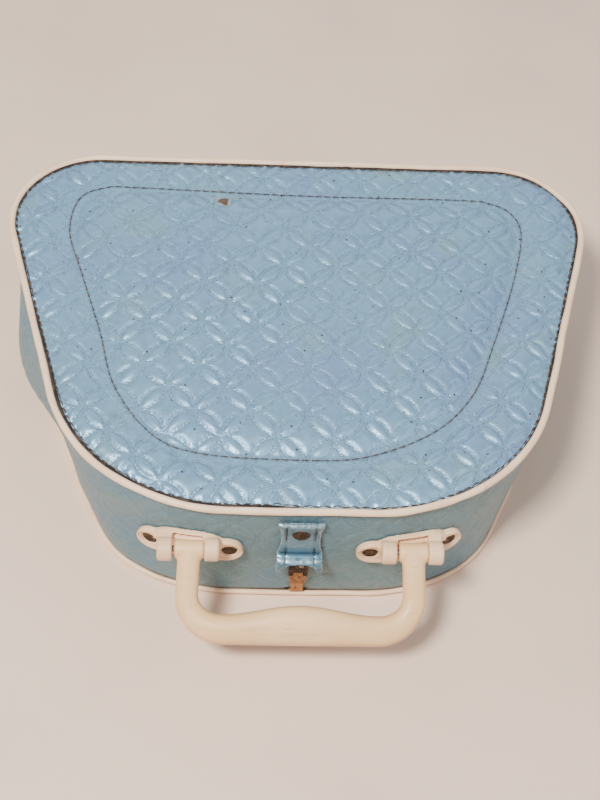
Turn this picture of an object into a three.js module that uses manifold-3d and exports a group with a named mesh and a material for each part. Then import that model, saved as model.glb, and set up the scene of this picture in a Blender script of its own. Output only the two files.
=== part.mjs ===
// Travel jewellery case: a low vinyl-covered board case in the shape of a rounded trapezoid.
// A flat base stands on the table. A deep shell, made of the side wall and the padded top,
// hinges up from the base's rear edge. A moulded handle and a riveted tab with a brass lock
// are on the narrow front wall.
// Millimetres, +Z up, -Y is the front. The origin is the centre of the base's underside.

import * as THREE from "three";
import { mergeVertices } from "three/addons/utils/BufferGeometryUtils.js";
import Module from "manifold-3d";

const wasm = await Module();
wasm.setup();

// Plan of the case, to the outer face of its wall
const DEPTH = 212.5;
const FRONT_Y = -DEPTH / 2;
const REAR_Y = DEPTH / 2;
const FRONT_FLAT = 30; // half the straight run of the front wall
const FRONT_RADIUS = 85.5;
const REAR_RADIUS = 42.5;
const SIDE_SLOPE = Math.atan(0.285); // each side wall's angle to the centre line
const SIDE_BOW = 5; // how far the side walls bow out at half height
const REAR_BOW = 2;
const CORNER_LEAN = 6.2; // how far the front corners draw in from the top edge to the base
const LEAN_START = THREE.MathUtils.degToRad(-57); // outward angle where the corner begins to draw in
const LEAN_FULL = THREE.MathUtils.degToRad(-28);
const LEAN_LENGTH = 0.55; // share of the side over which the lean dies away
const ARC_STEPS = 9;
const SIDE_STEPS = 6;
const REAR_STEPS = 8;

// Heights
const GAP = 0.3; // clearance between touching layers
const SKIN = 0.7; // vinyl covering
const LINING = 0.6;
const BOARD = 2.5;
const BEAD_RADIUS = 1.6; // piping
const TOP_Z = 71; // upper face of the top covering
const EDGE_INSET = 2; // the panels stop this far inside the wall's outer face
const BASE_BOARD_Z = SKIN + GAP;
const BASE_LINING_Z = BASE_BOARD_Z + BOARD + GAP;
const WALL_BOTTOM = 4;
const TOP_COVER_Z = TOP_Z - SKIN;
const FOAM = 1.5;
const TOP_FOAM_Z = TOP_COVER_Z - GAP - FOAM;
const TOP_BOARD_Z = TOP_FOAM_Z - GAP - BOARD;
const TOP_LINING_Z = TOP_BOARD_Z - GAP - LINING;
const WALL_TOP = TOP_LINING_Z - GAP;
const WALL_BOARD_INSET = SKIN + GAP;
const WALL_LINING_INSET = WALL_BOARD_INSET + BOARD + GAP;
const WALL_INSET = WALL_LINING_INSET + LINING; // inner face of the lined wall
const BASE_BEAD_Z = 2;
const TOP_BEAD_Z = TOP_Z - 1.8;

// Rim on the base that locates the shell
const RIM_INSET = WALL_INSET + 1;
const RIM_THICKNESS = 2;
const RIM_BOTTOM = BASE_LINING_Z + LINING + GAP;
const RIM_TOP = RIM_BOTTOM + 10;

// Handle and its brackets
const BRACKET_X = 48.3;
const BRACKET_Z = 41.8;
const BRACKET_HALF_LENGTH = 23.8;
const BRACKET_HALF_HEIGHT = 7.6;
const BRACKET_PLATE = 3;
const BOSS_HALF_LENGTH = 14.5;
const BOSS_OUT = 4;
const BOSS_BOTTOM = 39.3;
const BOSS_TOP = 53;
const LUG_INNER = 6.9;
const LUG_OUTER = 13.4;
const LUG_RADIUS = 5;
const PIVOT_OUT = 6.2; // handle axis in front of the front wall
const PIVOT_Z = 49.3;
const BARREL_RADIUS = 4.3;
const BARREL_CLEARANCE = 0.5;
const BARREL_HALF_LENGTH = 6.4;
const PIN_RADIUS = 1.5;
const PIN_CLEARANCE = 0.2;
const HANDLE_DROOP = THREE.MathUtils.degToRad(38); // below level, as it rests
const ARM_WIDTH = 10.7;
const ARM_THICKNESS = 8.4;
const ARM_SPLAY = 0.8;
const GRIP_REACH = 40.5; // handle axis to the grip's outer edge
const GRIP_DEPTH_MIDDLE = 16.8;
const GRIP_DEPTH_END = 12.6;
const GRIP_THICKNESS = 12;
const CORNER_RADIUS = 15;

// Rivets through the wall
const RIVET_SPACING = 17.7; // each side of a bracket's middle
const RIVET_HEAD_RADIUS = 3.4;
const RIVET_HEAD = 0.9;
const SHANK_RADIUS = 1.5;
const HOLE_RADIUS = SHANK_RADIUS + GAP;
const WASHER_RADIUS = 4.2;
const WASHER = 0.8;
const SINK_DEPTH = 1.2; // counterbore for a rivet's head
const TAIL_OUT = WALL_INSET + GAP + WASHER + GAP; // depth where a rivet's tail is spread
const TAIL_RADIUS = 2.4;
const TAIL = 0.7;

// Tab and lock
const TAB_HALF_WIDTH = 9.8;
const TAB_THICKNESS = 1.8;
const TAB_STANDOFF = 0.4;
const TAB_TOP = 63.8;
const TAB_JOINT_Z = 47;
const TAB_CREASE_Z = 39;
const TAB_BOTTOM = 32.3;
const TAB_LIP_OUT = 4.8; // inner face of the lip in front of the wall
const TAB_RIVET_Z = 56;
const ARCH_HALF_WIDTH = 7.4;
const ARCH_RISE = 3.2;
const LOCK_HALF_WIDTH = 4.2;
const LOCK_BACK = 0.9;
const LOCK_FRONT = 4.3;
const LOCK_TOP = 35.6;
const LOCK_BOTTOM = 27;
const TONGUE_HALF_WIDTH = 3.9;
const TONGUE_AXIS_OUT = 2.9;
const TONGUE_AXIS_Z = 24.6;
const TONGUE_THICKNESS = 1.2;
const TONGUE_END = 14.8;
const KNUCKLE_RADIUS = 1.5;
const KNUCKLE_HALF_LENGTH = 2.3;
const TONGUE_PIN_RADIUS = 0.6;
const CATCH_HALF_WIDTH = 3;
const CATCH_METAL = 0.8;
const CATCH_TOP = 17;
const CATCH_RIVET_Y = FRONT_Y + RIM_INSET + 8;
const CATCH_FOOT_Y = FRONT_Y + RIM_INSET + 12;
const NOTCH_HALF_WIDTH = 4.4;
const NOTCH_TOP = RIM_BOTTOM + CATCH_METAL + 2 * GAP;

// Hinge tape along the rear edge, inside
const TAPE_HALF_LENGTH = 92;
const TAPE = 0.5;
const TAPE_LEG = 14;

// Geometry helpers

// A closed solid from a ring or a run of sections with the same number of points each.
// Every four-cornered facet is split from its lower near corner to its upper far corner, so the
// facets of nested layers match.
function loft(sections, ring = false) {
  const count = sections[0].length;
  const positions = sections.flat().flatMap((p) => [p.x, p.y, p.z]);
  const index = [];
  const runs = ring ? sections.length : sections.length - 1;
  for (let i = 0; i < runs; i++) {
    const a = i * count;
    const b = ((i + 1) % sections.length) * count;
    for (let j = 0; j < count; j++) {
      const k = (j + 1) % count;
      if (sections[i][k].z >= sections[i][j].z) {
        index.push(a + j, b + k, b + j);
        index.push(a + j, a + k, b + k);
      } else {
        index.push(a + j, a + k, b + j);
        index.push(a + k, b + k, b + j);
      }
    }
  }
  if (!ring) {
    const last = (sections.length - 1) * count;
    for (let j = 1; j < count - 1; j++) {
      index.push(0, j + 1, j);
      index.push(last, last + j, last + j + 1);
    }
  }
  const geometry = new THREE.BufferGeometry();
  geometry.setAttribute("position", new THREE.Float32BufferAttribute(positions, 3));
  geometry.setIndex(index);
  return geometry;
}

function toSolid(geometry) {
  const bare = geometry.clone();
  bare.deleteAttribute("normal");
  bare.deleteAttribute("uv");
  const merged = mergeVertices(bare, 1e-4);
  const vertProperties = new Float32Array(merged.attributes.position.array);
  const triVerts = new Uint32Array(merged.index.array);
  const solid = new wasm.Manifold(new wasm.Mesh({ numProp: 3, vertProperties, triVerts }));
  if (solid.volume() > 0) {
    return solid;
  }
  triVerts.reverse();
  return new wasm.Manifold(new wasm.Mesh({ numProp: 3, vertProperties, triVerts }));
}

function toGeometry(solid) {
  const mesh = solid.getMesh();
  const geometry = new THREE.BufferGeometry();
  geometry.setAttribute("position", new THREE.BufferAttribute(mesh.vertProperties, 3));
  geometry.setIndex(new THREE.BufferAttribute(mesh.triVerts, 1));
  return geometry;
}

function union(...solids) {
  return solids.reduce((sum, s) => sum.add(s));
}

function cut(solid, ...tools) {
  return tools.reduce((rest, tool) => rest.subtract(tool), solid);
}

function box(x0, x1, y0, y1, z0, z1) {
  const geometry = new THREE.BoxGeometry(x1 - x0, y1 - y0, z1 - z0);
  geometry.translate((x0 + x1) / 2, (y0 + y1) / 2, (z0 + z1) / 2);
  return toSolid(geometry);
}

// A cylinder along X from x0 to x1
function rodX(radius, x0, x1, y, z, sides = 16) {
  const geometry = new THREE.CylinderGeometry(radius, radius, x1 - x0, sides);
  geometry.rotateZ(Math.PI / 2);
  geometry.translate((x0 + x1) / 2, y, z);
  return toSolid(geometry);
}

function discZ(radius, z0, z1, x, y, sides = 16) {
  const geometry = new THREE.CylinderGeometry(radius, radius, z1 - z0, sides);
  geometry.rotateX(Math.PI / 2);
  geometry.translate(x, y, (z0 + z1) / 2);
  return toSolid(geometry);
}

// A profile of [y, z] points, extruded along X from -halfWidth to halfWidth
function barX(profile, halfWidth) {
  const at = (x) => profile.map(([y, z]) => new THREE.Vector3(x, y, z));
  return toSolid(loft([at(-halfWidth), at(halfWidth)]));
}

// Plan outline

// Centre X of the rear corner's arc, so that the side wall is tangent to both corner arcs
function rearArcX() {
  const nx = Math.cos(SIDE_SLOPE);
  const ny = -Math.sin(SIDE_SLOPE);
  const front = nx * FRONT_FLAT + ny * (FRONT_Y + FRONT_RADIUS) + FRONT_RADIUS;
  return (front - REAR_RADIUS - ny * (REAR_Y - REAR_RADIUS)) / nx;
}

// Points round the right half of the outline, each with its outward angle, its bow and its lean
function halfOutline() {
  const frontY = FRONT_Y + FRONT_RADIUS;
  const rearX = rearArcX();
  const rearY = REAR_Y - REAR_RADIUS;
  const stations = [];
  for (let i = 0; i <= ARC_STEPS; i++) {
    const angle = -Math.PI / 2 + ((Math.PI / 2 - SIDE_SLOPE) * i) / ARC_STEPS;
    const lean = CORNER_LEAN * THREE.MathUtils.smoothstep(angle, LEAN_START, LEAN_FULL);
    stations.push({ cx: FRONT_FLAT, cy: frontY, radius: FRONT_RADIUS, angle, bow: 0, lean });
  }
  const along = Math.cos(SIDE_SLOPE);
  const across = Math.sin(SIDE_SLOPE);
  const start = { x: FRONT_FLAT + FRONT_RADIUS * along, y: frontY - FRONT_RADIUS * across };
  const end = { x: rearX + REAR_RADIUS * along, y: rearY - REAR_RADIUS * across };
  for (let i = 1; i < SIDE_STEPS; i++) {
    const t = i / SIDE_STEPS;
    const cx = THREE.MathUtils.lerp(start.x, end.x, t);
    const cy = THREE.MathUtils.lerp(start.y, end.y, t);
    const bow = SIDE_BOW * Math.sin(Math.PI * t) ** 2;
    const lean = CORNER_LEAN * (1 - THREE.MathUtils.smoothstep(t, 0, LEAN_LENGTH));
    stations.push({ cx, cy, radius: 0, angle: -SIDE_SLOPE, bow, lean });
  }
  for (let i = 0; i <= ARC_STEPS; i++) {
    const angle = -SIDE_SLOPE + ((Math.PI / 2 + SIDE_SLOPE) * i) / ARC_STEPS;
    stations.push({ cx: rearX, cy: rearY, radius: REAR_RADIUS, angle, bow: 0, lean: 0 });
  }
  for (let i = 1; i <= REAR_STEPS / 2; i++) {
    const cx = rearX * (1 - (2 * i) / REAR_STEPS);
    const bow = REAR_BOW * Math.sin((Math.PI * i) / REAR_STEPS) ** 2;
    stations.push({ cx, cy: REAR_Y, radius: 0, angle: Math.PI / 2, bow, lean: 0 });
  }
  return stations;
}

function fullOutline() {
  const right = halfOutline();
  const left = right
    .slice(0, -1)
    .reverse()
    .map((s) => ({ ...s, cx: -s.cx, angle: Math.PI - s.angle }));
  return [...right, ...left];
}

const OUTLINE = fullOutline();

// The outline point at a station, `out` outside the wall's outer face, at height z
function wallPoint(station, out, z) {
  const height = THREE.MathUtils.clamp((z - WALL_BOTTOM) / (WALL_TOP - WALL_BOTTOM), 0, 1);
  const shift = station.bow * Math.sin(Math.PI * height) - station.lean * (1 - height);
  const reach = station.radius + out + shift;
  const x = station.cx + reach * Math.cos(station.angle);
  const y = station.cy + reach * Math.sin(station.angle);
  return new THREE.Vector3(x, y, z);
}

// A section of [out, z] points carried right round the outline
function band(section) {
  return loft(
    OUTLINE.map((station) => section.map(([out, z]) => wallPoint(station, out, z))),
    true,
  );
}

// The wall's layers bend at the same heights, so they stay nested where the wall bows.
function wallLayer(inset, thickness, bottom, top) {
  const bends = [1, 2, 3].map((i) => WALL_BOTTOM + ((WALL_TOP - WALL_BOTTOM) * i) / 3);
  const rows = [bottom, ...bends.filter((z) => z < top - GAP), top];
  const outer = rows.map((z) => [-inset, z]);
  const inner = rows.map((z) => [-inset - thickness, z]).reverse();
  return toSolid(band([...outer, ...inner]));
}

function piping(z) {
  const sides = 8;
  const section = [];
  for (let i = 0; i < sides; i++) {
    const a = (2 * Math.PI * i) / sides;
    section.push([BEAD_RADIUS * Math.cos(a), z + BEAD_RADIUS * Math.sin(a)]);
  }
  return toSolid(band(section));
}

// A flat panel of the outline's shape, inset from the wall's outer face
function panel(inset, bottom, thickness) {
  const shape = new THREE.Shape(
    OUTLINE.map((s) => {
      const p = wallPoint(s, -inset, bottom);
      return new THREE.Vector2(p.x, p.y);
    }),
  );
  const geometry = new THREE.ExtrudeGeometry(shape, { depth: thickness, bevelEnabled: false });
  geometry.translate(0, 0, bottom);
  return toSolid(geometry);
}

// Where the front wall is, `along` its outer face from the centre line: position and turn about Z
function frontPlace(along, out, z) {
  const side = Math.sign(along) || 1;
  const past = Math.max(0, Math.abs(along) - FRONT_FLAT) / FRONT_RADIUS;
  const x = Math.min(Math.abs(along), FRONT_FLAT) + (FRONT_RADIUS + out) * Math.sin(past);
  const y = FRONT_Y + FRONT_RADIUS - (FRONT_RADIUS + out) * Math.cos(past);
  return { position: new THREE.Vector3(side * x, y, z), turn: side * past };
}

// A cylinder through the front wall, from `out0` to `out1` in front of it
function discThroughWall(along, z, radius, out0, out1, sides = 16) {
  const { position, turn } = frontPlace(along, 0, z);
  const geometry = new THREE.CylinderGeometry(radius, radius, out1 - out0, sides);
  geometry.translate(0, -(out0 + out1) / 2, 0);
  geometry.rotateZ(turn);
  geometry.translate(position.x, position.y, position.z);
  return toSolid(geometry);
}

// Places along the wall
const bracketMiddle = FRONT_FLAT + FRONT_RADIUS * Math.asin((BRACKET_X - FRONT_FLAT) / FRONT_RADIUS);
const SIDES = { left: -1, right: 1 };
const RIVET_ENDS = { outer: 1, inner: -1 };

function rivetPlaces() {
  const places = [];
  for (const [sideName, side] of Object.entries(SIDES)) {
    for (const [endName, end] of Object.entries(RIVET_ENDS)) {
      const along = side * (bracketMiddle + end * RIVET_SPACING);
      places.push({ name: `bracket_rivet_${sideName}_${endName}`, along, z: BRACKET_Z, face: BRACKET_PLATE });
    }
  }
  return places;
}

const tabRivet = { name: "tab_rivet", along: 0, z: TAB_RIVET_Z, face: TAB_STANDOFF + TAB_THICKNESS };
const wallHoles = [...rivetPlaces(), tabRivet].map(({ along, z }) =>
  discThroughWall(along, z, HOLE_RADIUS, -WALL_INSET - 2, 2),
);

function catchNotch() {
  return box(-NOTCH_HALF_WIDTH, NOTCH_HALF_WIDTH, FRONT_Y - 2, FRONT_Y + RIM_INSET + 4, 0, NOTCH_TOP);
}

// Base

function baseBoard() {
  return cut(
    panel(EDGE_INSET, BASE_BOARD_Z, BOARD),
    discZ(HOLE_RADIUS, 0, WALL_BOTTOM + 1, 0, CATCH_RIVET_Y),
  );
}

function baseLining() {
  return cut(
    panel(WALL_INSET + 1, BASE_LINING_Z, LINING),
    discZ(HOLE_RADIUS, 0, WALL_BOTTOM + 2, 0, CATCH_RIVET_Y),
  );
}

// The rim stands upright round the front and sides, so that the shell lifts clear of it, and leaves
// the rear to the hinge tape.
function baseRim() {
  const section = [
    [-RIM_INSET, RIM_BOTTOM],
    [-RIM_INSET, RIM_TOP],
    [-RIM_INSET - RIM_THICKNESS, RIM_TOP],
    [-RIM_INSET - RIM_THICKNESS, RIM_BOTTOM],
  ];
  const upright = (station) => section.map(([out, z]) => wallPoint(station, out, WALL_BOTTOM).setZ(z));
  const ring = toSolid(loft(OUTLINE.map(upright), true));
  const rear = box(-200, 200, REAR_Y - REAR_RADIUS, REAR_Y, 0, RIM_TOP + 1);
  return cut(ring, rear, catchNotch());
}

function hingeTapeBase() {
  const back = REAR_Y - WALL_INSET - 1;
  return box(-TAPE_HALF_LENGTH, TAPE_HALF_LENGTH, back - TAPE_LEG, back, RIM_BOTTOM, RIM_BOTTOM + TAPE);
}

// Brass strip: its foot lies inside on the base and its hooked end stands up in front of the wall.
function baseCatch() {
  const front = FRONT_Y - LOCK_BACK;
  const profile = [
    [front, RIM_BOTTOM],
    [CATCH_FOOT_Y, RIM_BOTTOM],
    [CATCH_FOOT_Y, RIM_BOTTOM + CATCH_METAL],
    [front + CATCH_METAL / 2, RIM_BOTTOM + CATCH_METAL],
    [front + CATCH_METAL / 2, CATCH_TOP],
    [front - CATCH_METAL / 2, CATCH_TOP],
    [front - CATCH_METAL / 2, RIM_BOTTOM],
  ];
  return cut(
    barX(profile, CATCH_HALF_WIDTH),
    discZ(HOLE_RADIUS, 0, WALL_BOTTOM + 4, 0, CATCH_RIVET_Y),
  );
}

function catchRivet() {
  const face = RIM_BOTTOM + CATCH_METAL + GAP;
  return union(
    discZ(SHANK_RADIUS, BASE_BOARD_Z + GAP, face + 0.1, 0, CATCH_RIVET_Y),
    discZ(RIVET_HEAD_RADIUS - 0.4, face, face + RIVET_HEAD, 0, CATCH_RIVET_Y),
  );
}

// Shell

function wallBoard() {
  return cut(wallLayer(WALL_BOARD_INSET, BOARD, WALL_BOTTOM, WALL_TOP), ...wallHoles, catchNotch());
}

function wallCover() {
  return cut(wallLayer(0, SKIN, WALL_BOTTOM, TOP_BEAD_Z - BEAD_RADIUS - GAP), ...wallHoles, catchNotch());
}

function wallLining() {
  return cut(wallLayer(WALL_LINING_INSET, LINING, WALL_BOTTOM + 1, WALL_TOP), ...wallHoles, catchNotch());
}

function hingeTapeShell() {
  const back = REAR_Y - WALL_INSET - GAP;
  const bottom = RIM_BOTTOM + TAPE + GAP;
  return box(-TAPE_HALF_LENGTH, TAPE_HALF_LENGTH, back - TAPE, back, bottom, bottom + TAPE_LEG);
}

// A rivet's head outside, its shank through the wall and its spread tail over the washer inside
function wallRivet({ along, z, face }) {
  const head = face - SINK_DEPTH + GAP;
  return union(
    discThroughWall(along, z, SHANK_RADIUS, -TAIL_OUT - TAIL, head + 0.1),
    discThroughWall(along, z, RIVET_HEAD_RADIUS, head, head + RIVET_HEAD),
    discThroughWall(along, z, TAIL_RADIUS, -TAIL_OUT - TAIL, -TAIL_OUT),
  );
}

function wallWasher({ along, z }) {
  const front = -WALL_INSET - GAP;
  return cut(
    discThroughWall(along, z, WASHER_RADIUS, front - WASHER, front),
    discThroughWall(along, z, HOLE_RADIUS, front - WASHER - 1, front + 1),
  );
}

function sunkHole({ along, z, face }) {
  return union(
    discThroughWall(along, z, HOLE_RADIUS, -1, face + 1),
    discThroughWall(along, z, RIVET_HEAD_RADIUS + GAP, face - SINK_DEPTH, face + 1),
  );
}

// A plate that follows the front wall; reach gives its lower and upper edge at each place
function bentPlate(middle, halfLength, reach, back, front, steps) {
  const sections = [];
  for (let i = 0; i <= steps; i++) {
    const offset = -halfLength * Math.cos((Math.PI * i) / steps);
    const [low, high] = reach(offset);
    const at = (out, z) => frontPlace(middle + offset, out, z).position;
    sections.push([at(back, low), at(front, low), at(front, high), at(back, high)]);
  }
  return toSolid(loft(sections));
}

function bracket(side) {
  const middle = side * bracketMiddle;
  const straight = BRACKET_HALF_LENGTH - BRACKET_HALF_HEIGHT;
  const stadium = (offset) => {
    const past = Math.max(0, Math.abs(offset) - straight);
    const half = Math.max(1, Math.sqrt(Math.max(0, BRACKET_HALF_HEIGHT ** 2 - past ** 2)));
    return [BRACKET_Z - half, BRACKET_Z + half];
  };
  const plate = bentPlate(middle, BRACKET_HALF_LENGTH, stadium, GAP, BRACKET_PLATE, 14);
  const boss = bentPlate(middle, BOSS_HALF_LENGTH, () => [BOSS_BOTTOM, BOSS_TOP], GAP, BOSS_OUT, 6);
  const pivotY = FRONT_Y - PIVOT_OUT;
  const lugs = [-1, 1].map((end) => {
    const ends = [side * BRACKET_X + end * LUG_INNER, side * BRACKET_X + end * LUG_OUTER];
    const x0 = Math.min(...ends);
    const x1 = Math.max(...ends);
    const back = frontPlace(side * bracketMiddle + end * ((LUG_INNER + LUG_OUTER) / 2), 2, 0).position.y;
    return union(
      rodX(LUG_RADIUS, x0, x1, pivotY, PIVOT_Z),
      box(x0, x1, pivotY, back, PIVOT_Z - LUG_RADIUS, PIVOT_Z + LUG_RADIUS * 0.9),
    );
  });
  const pinHole = rodX(
    PIN_RADIUS + PIN_CLEARANCE,
    side * BRACKET_X - LUG_OUTER - 1,
    side * BRACKET_X + LUG_OUTER + 1,
    pivotY,
    PIVOT_Z,
  );
  const barrelRoom = rodX(
    BARREL_RADIUS + BARREL_CLEARANCE,
    side * BRACKET_X - LUG_INNER,
    side * BRACKET_X + LUG_INNER,
    pivotY,
    PIVOT_Z,
    24,
  );
  const holes = rivetPlaces()
    .filter(({ along }) => Math.sign(along) === side)
    .map(sunkHole);
  return cut(union(cut(union(plate, boss), barrelRoom), ...lugs), pinHole, ...holes);
}

function handlePin(side) {
  const x = side * BRACKET_X;
  return rodX(PIN_RADIUS, x - LUG_OUTER + 0.5, x + LUG_OUTER - 0.5, FRONT_Y - PIVOT_OUT, PIVOT_Z);
}

function tabStrap() {
  const back = FRONT_Y - TAB_STANDOFF;
  const front = back - TAB_THICKNESS;
  const strap = box(-TAB_HALF_WIDTH, TAB_HALF_WIDTH, front, back, TAB_JOINT_Z + GAP, TAB_TOP);
  return cut(strap, sunkHole(tabRivet));
}

// Tab flap: hangs from the strap and swells out over the lock, with an arch cut in its lip.
function tabFlap() {
  const out = (distance) => FRONT_Y - distance;
  const back = [
    [out(TAB_STANDOFF), TAB_JOINT_Z],
    [out(TAB_STANDOFF), TAB_CREASE_Z],
    [out(TAB_LIP_OUT), TAB_CREASE_Z - 3],
    [out(TAB_LIP_OUT), TAB_BOTTOM],
  ];
  const front = back.map(([y, z]) => [y - TAB_THICKNESS, z]).reverse();
  const arch = new THREE.CylinderGeometry(1, 1, 30, 24);
  arch.scale(ARCH_HALF_WIDTH, 1, ARCH_RISE);
  arch.translate(0, FRONT_Y, TAB_BOTTOM);
  return cut(barX([...back, ...front], TAB_HALF_WIDTH), toSolid(arch));
}

// Lock body: a brass box behind the lip with two ears below for the tongue's pin
function lockBody() {
  const back = FRONT_Y - LOCK_BACK;
  const front = FRONT_Y - LOCK_FRONT;
  const axisY = FRONT_Y - TONGUE_AXIS_OUT;
  const earInner = KNUCKLE_HALF_LENGTH + GAP;
  const body = box(-LOCK_HALF_WIDTH, LOCK_HALF_WIDTH, front, back, LOCK_BOTTOM, LOCK_TOP);
  const ears = [-1, 1].map((end) => {
    const x0 = Math.min(end * earInner, end * LOCK_HALF_WIDTH);
    const x1 = Math.max(end * earInner, end * LOCK_HALF_WIDTH);
    return union(
      rodX(KNUCKLE_RADIUS, x0, x1, axisY, TONGUE_AXIS_Z, 16),
      box(x0, x1, axisY - KNUCKLE_RADIUS, axisY + KNUCKLE_RADIUS, TONGUE_AXIS_Z, LOCK_BOTTOM + 0.5),
    );
  });
  const bore = rodX(TONGUE_PIN_RADIUS + PIN_CLEARANCE, -9, 9, axisY, TONGUE_AXIS_Z, 16);
  return cut(union(body, ...ears), bore);
}

function tonguePin() {
  const half = LOCK_HALF_WIDTH - 0.2;
  return rodX(TONGUE_PIN_RADIUS, -half, half, FRONT_Y - TONGUE_AXIS_OUT, TONGUE_AXIS_Z, 16);
}

// Lock tongue: a knuckle on the pin and a round-ended brass leaf that hangs over the catch
function lockTongue() {
  const axisY = FRONT_Y - TONGUE_AXIS_OUT;
  const leafTop = TONGUE_AXIS_Z - KNUCKLE_RADIUS - 0.3;
  const leafBack = axisY + TONGUE_THICKNESS / 2;
  const roundZ = TONGUE_END + TONGUE_HALF_WIDTH;
  const round = new THREE.CylinderGeometry(TONGUE_HALF_WIDTH, TONGUE_HALF_WIDTH, TONGUE_THICKNESS, 24);
  round.translate(0, axisY, roundZ);
  const leaf = box(
    -TONGUE_HALF_WIDTH,
    TONGUE_HALF_WIDTH,
    leafBack - TONGUE_THICKNESS,
    leafBack,
    roundZ,
    leafTop,
  );
  const neck = box(
    -KNUCKLE_HALF_LENGTH,
    KNUCKLE_HALF_LENGTH,
    leafBack - TONGUE_THICKNESS,
    leafBack,
    leafTop - 1,
    TONGUE_AXIS_Z,
  );
  const knuckle = rodX(KNUCKLE_RADIUS, -KNUCKLE_HALF_LENGTH, KNUCKLE_HALF_LENGTH, axisY, TONGUE_AXIS_Z, 16);
  const bore = rodX(TONGUE_PIN_RADIUS + PIN_CLEARANCE, -9, 9, axisY, TONGUE_AXIS_Z, 16);
  return cut(union(toSolid(round), leaf, neck, knuckle), bore);
}

// Handle, drawn level with its axis on X and its grip towards -Y

// Centre, width across the plane and thickness of the handle at t from 0, one axis, to 1, the other
function handleStation(t) {
  const side = t < 0.5 ? -1 : 1;
  const u = Math.abs(t - 0.5) * 2; // 0 at the grip's middle, 1 at the axis
  const gripEnd = BRACKET_X + ARM_SPLAY - CORNER_RADIUS;
  const endY = -GRIP_REACH + GRIP_DEPTH_END / 2;
  const middleY = -GRIP_REACH + GRIP_DEPTH_MIDDLE / 2;
  if (u < 0.5) {
    const v = u / 0.5;
    const swell = 0.5 + 0.5 * Math.cos(Math.PI * v);
    return {
      x: side * gripEnd * v,
      y: THREE.MathUtils.lerp(endY, middleY, swell),
      turn: 0,
      width: THREE.MathUtils.lerp(GRIP_DEPTH_END, GRIP_DEPTH_MIDDLE, swell),
      thickness: GRIP_THICKNESS,
    };
  }
  if (u < 0.8) {
    const v = (u - 0.5) / 0.3;
    const angle = (Math.PI / 2) * v;
    return {
      x: side * (gripEnd + CORNER_RADIUS * Math.sin(angle)),
      y: endY + CORNER_RADIUS * (1 - Math.cos(angle)),
      turn: side * angle,
      width: THREE.MathUtils.lerp(GRIP_DEPTH_END, ARM_WIDTH, v),
      thickness: THREE.MathUtils.lerp(GRIP_THICKNESS, ARM_THICKNESS, v),
    };
  }
  const v = (u - 0.8) / 0.2;
  return {
    x: side * (BRACKET_X + ARM_SPLAY * (1 - v)),
    y: THREE.MathUtils.lerp(endY + CORNER_RADIUS, 0, v),
    turn: (side * Math.PI) / 2,
    width: ARM_WIDTH,
    thickness: ARM_THICKNESS,
  };
}

function handleSection(t) {
  const { x, y, turn, width, thickness } = handleStation(t);
  const sides = 10;
  const points = [];
  for (let i = 0; i < sides; i++) {
    const a = (2 * Math.PI * (i + 0.5)) / sides;
    const across = (width / 2) * Math.cos(a);
    const up = (thickness / 2) * Math.sin(a);
    points.push(new THREE.Vector3(x - across * Math.sin(turn), y + across * Math.cos(turn), up));
  }
  return points;
}

function handle() {
  const steps = 32;
  const sections = [];
  for (let i = 0; i <= steps; i++) {
    sections.push(handleSection(i / steps));
  }
  const bow = toSolid(loft(sections));
  const barrels = Object.values(SIDES).map((side) => {
    const x = side * BRACKET_X;
    return rodX(BARREL_RADIUS, x - BARREL_HALF_LENGTH, x + BARREL_HALF_LENGTH, 0, 0, 24);
  });
  const trim = box(-80, 80, 0, 20, -10, 10);
  const bore = rodX(PIN_RADIUS + PIN_CLEARANCE, -90, 90, 0, 0);
  return cut(union(cut(bow, trim), ...barrels), bore);
}

// Materials

function material(color, roughness, metalness = 0) {
  return new THREE.MeshStandardMaterial({ color, roughness, metalness });
}

const paleBlueVinyl = material(0x9fc0d2, 0.4);
const tealVinyl = material(0x7fa3ae, 0.5);
const metallicVinyl = material(0x7fb4c8, 0.3, 0.3);
const whiteVinyl = material(0xe9dcd3, 0.45);
const creamPlastic = material(0xe6d6bd, 0.4);
const agedBrass = material(0x6b5232, 0.45, 0.9);
const steel = material(0x9a9a98, 0.35, 0.9);
const greyBoard = material(0x9a8f7c, 0.9);
const foam = material(0xe8e0c8, 0.95);
const liningCloth = material(0xdcd6c8, 0.9);

// Scene graph

function piece(name, shape, look) {
  const geometry = toGeometry(shape);
  geometry.computeVertexNormals();
  const mesh = new THREE.Mesh(geometry, look);
  mesh.name = name;
  return mesh;
}

function baseGroup() {
  const group = new THREE.Group();
  group.add(piece("base_cover", panel(EDGE_INSET, 0, SKIN), tealVinyl));
  group.add(piece("base_board", baseBoard(), greyBoard));
  group.add(piece("base_lining", baseLining(), liningCloth));
  group.add(piece("base_rim", baseRim(), liningCloth));
  group.add(piece("base_piping", piping(BASE_BEAD_Z), whiteVinyl));
  group.add(piece("base_catch", baseCatch(), agedBrass));
  group.add(piece("catch_rivet", catchRivet(), agedBrass));
  group.add(piece("hinge_tape_base", hingeTapeBase(), liningCloth));
  return group;
}

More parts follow.
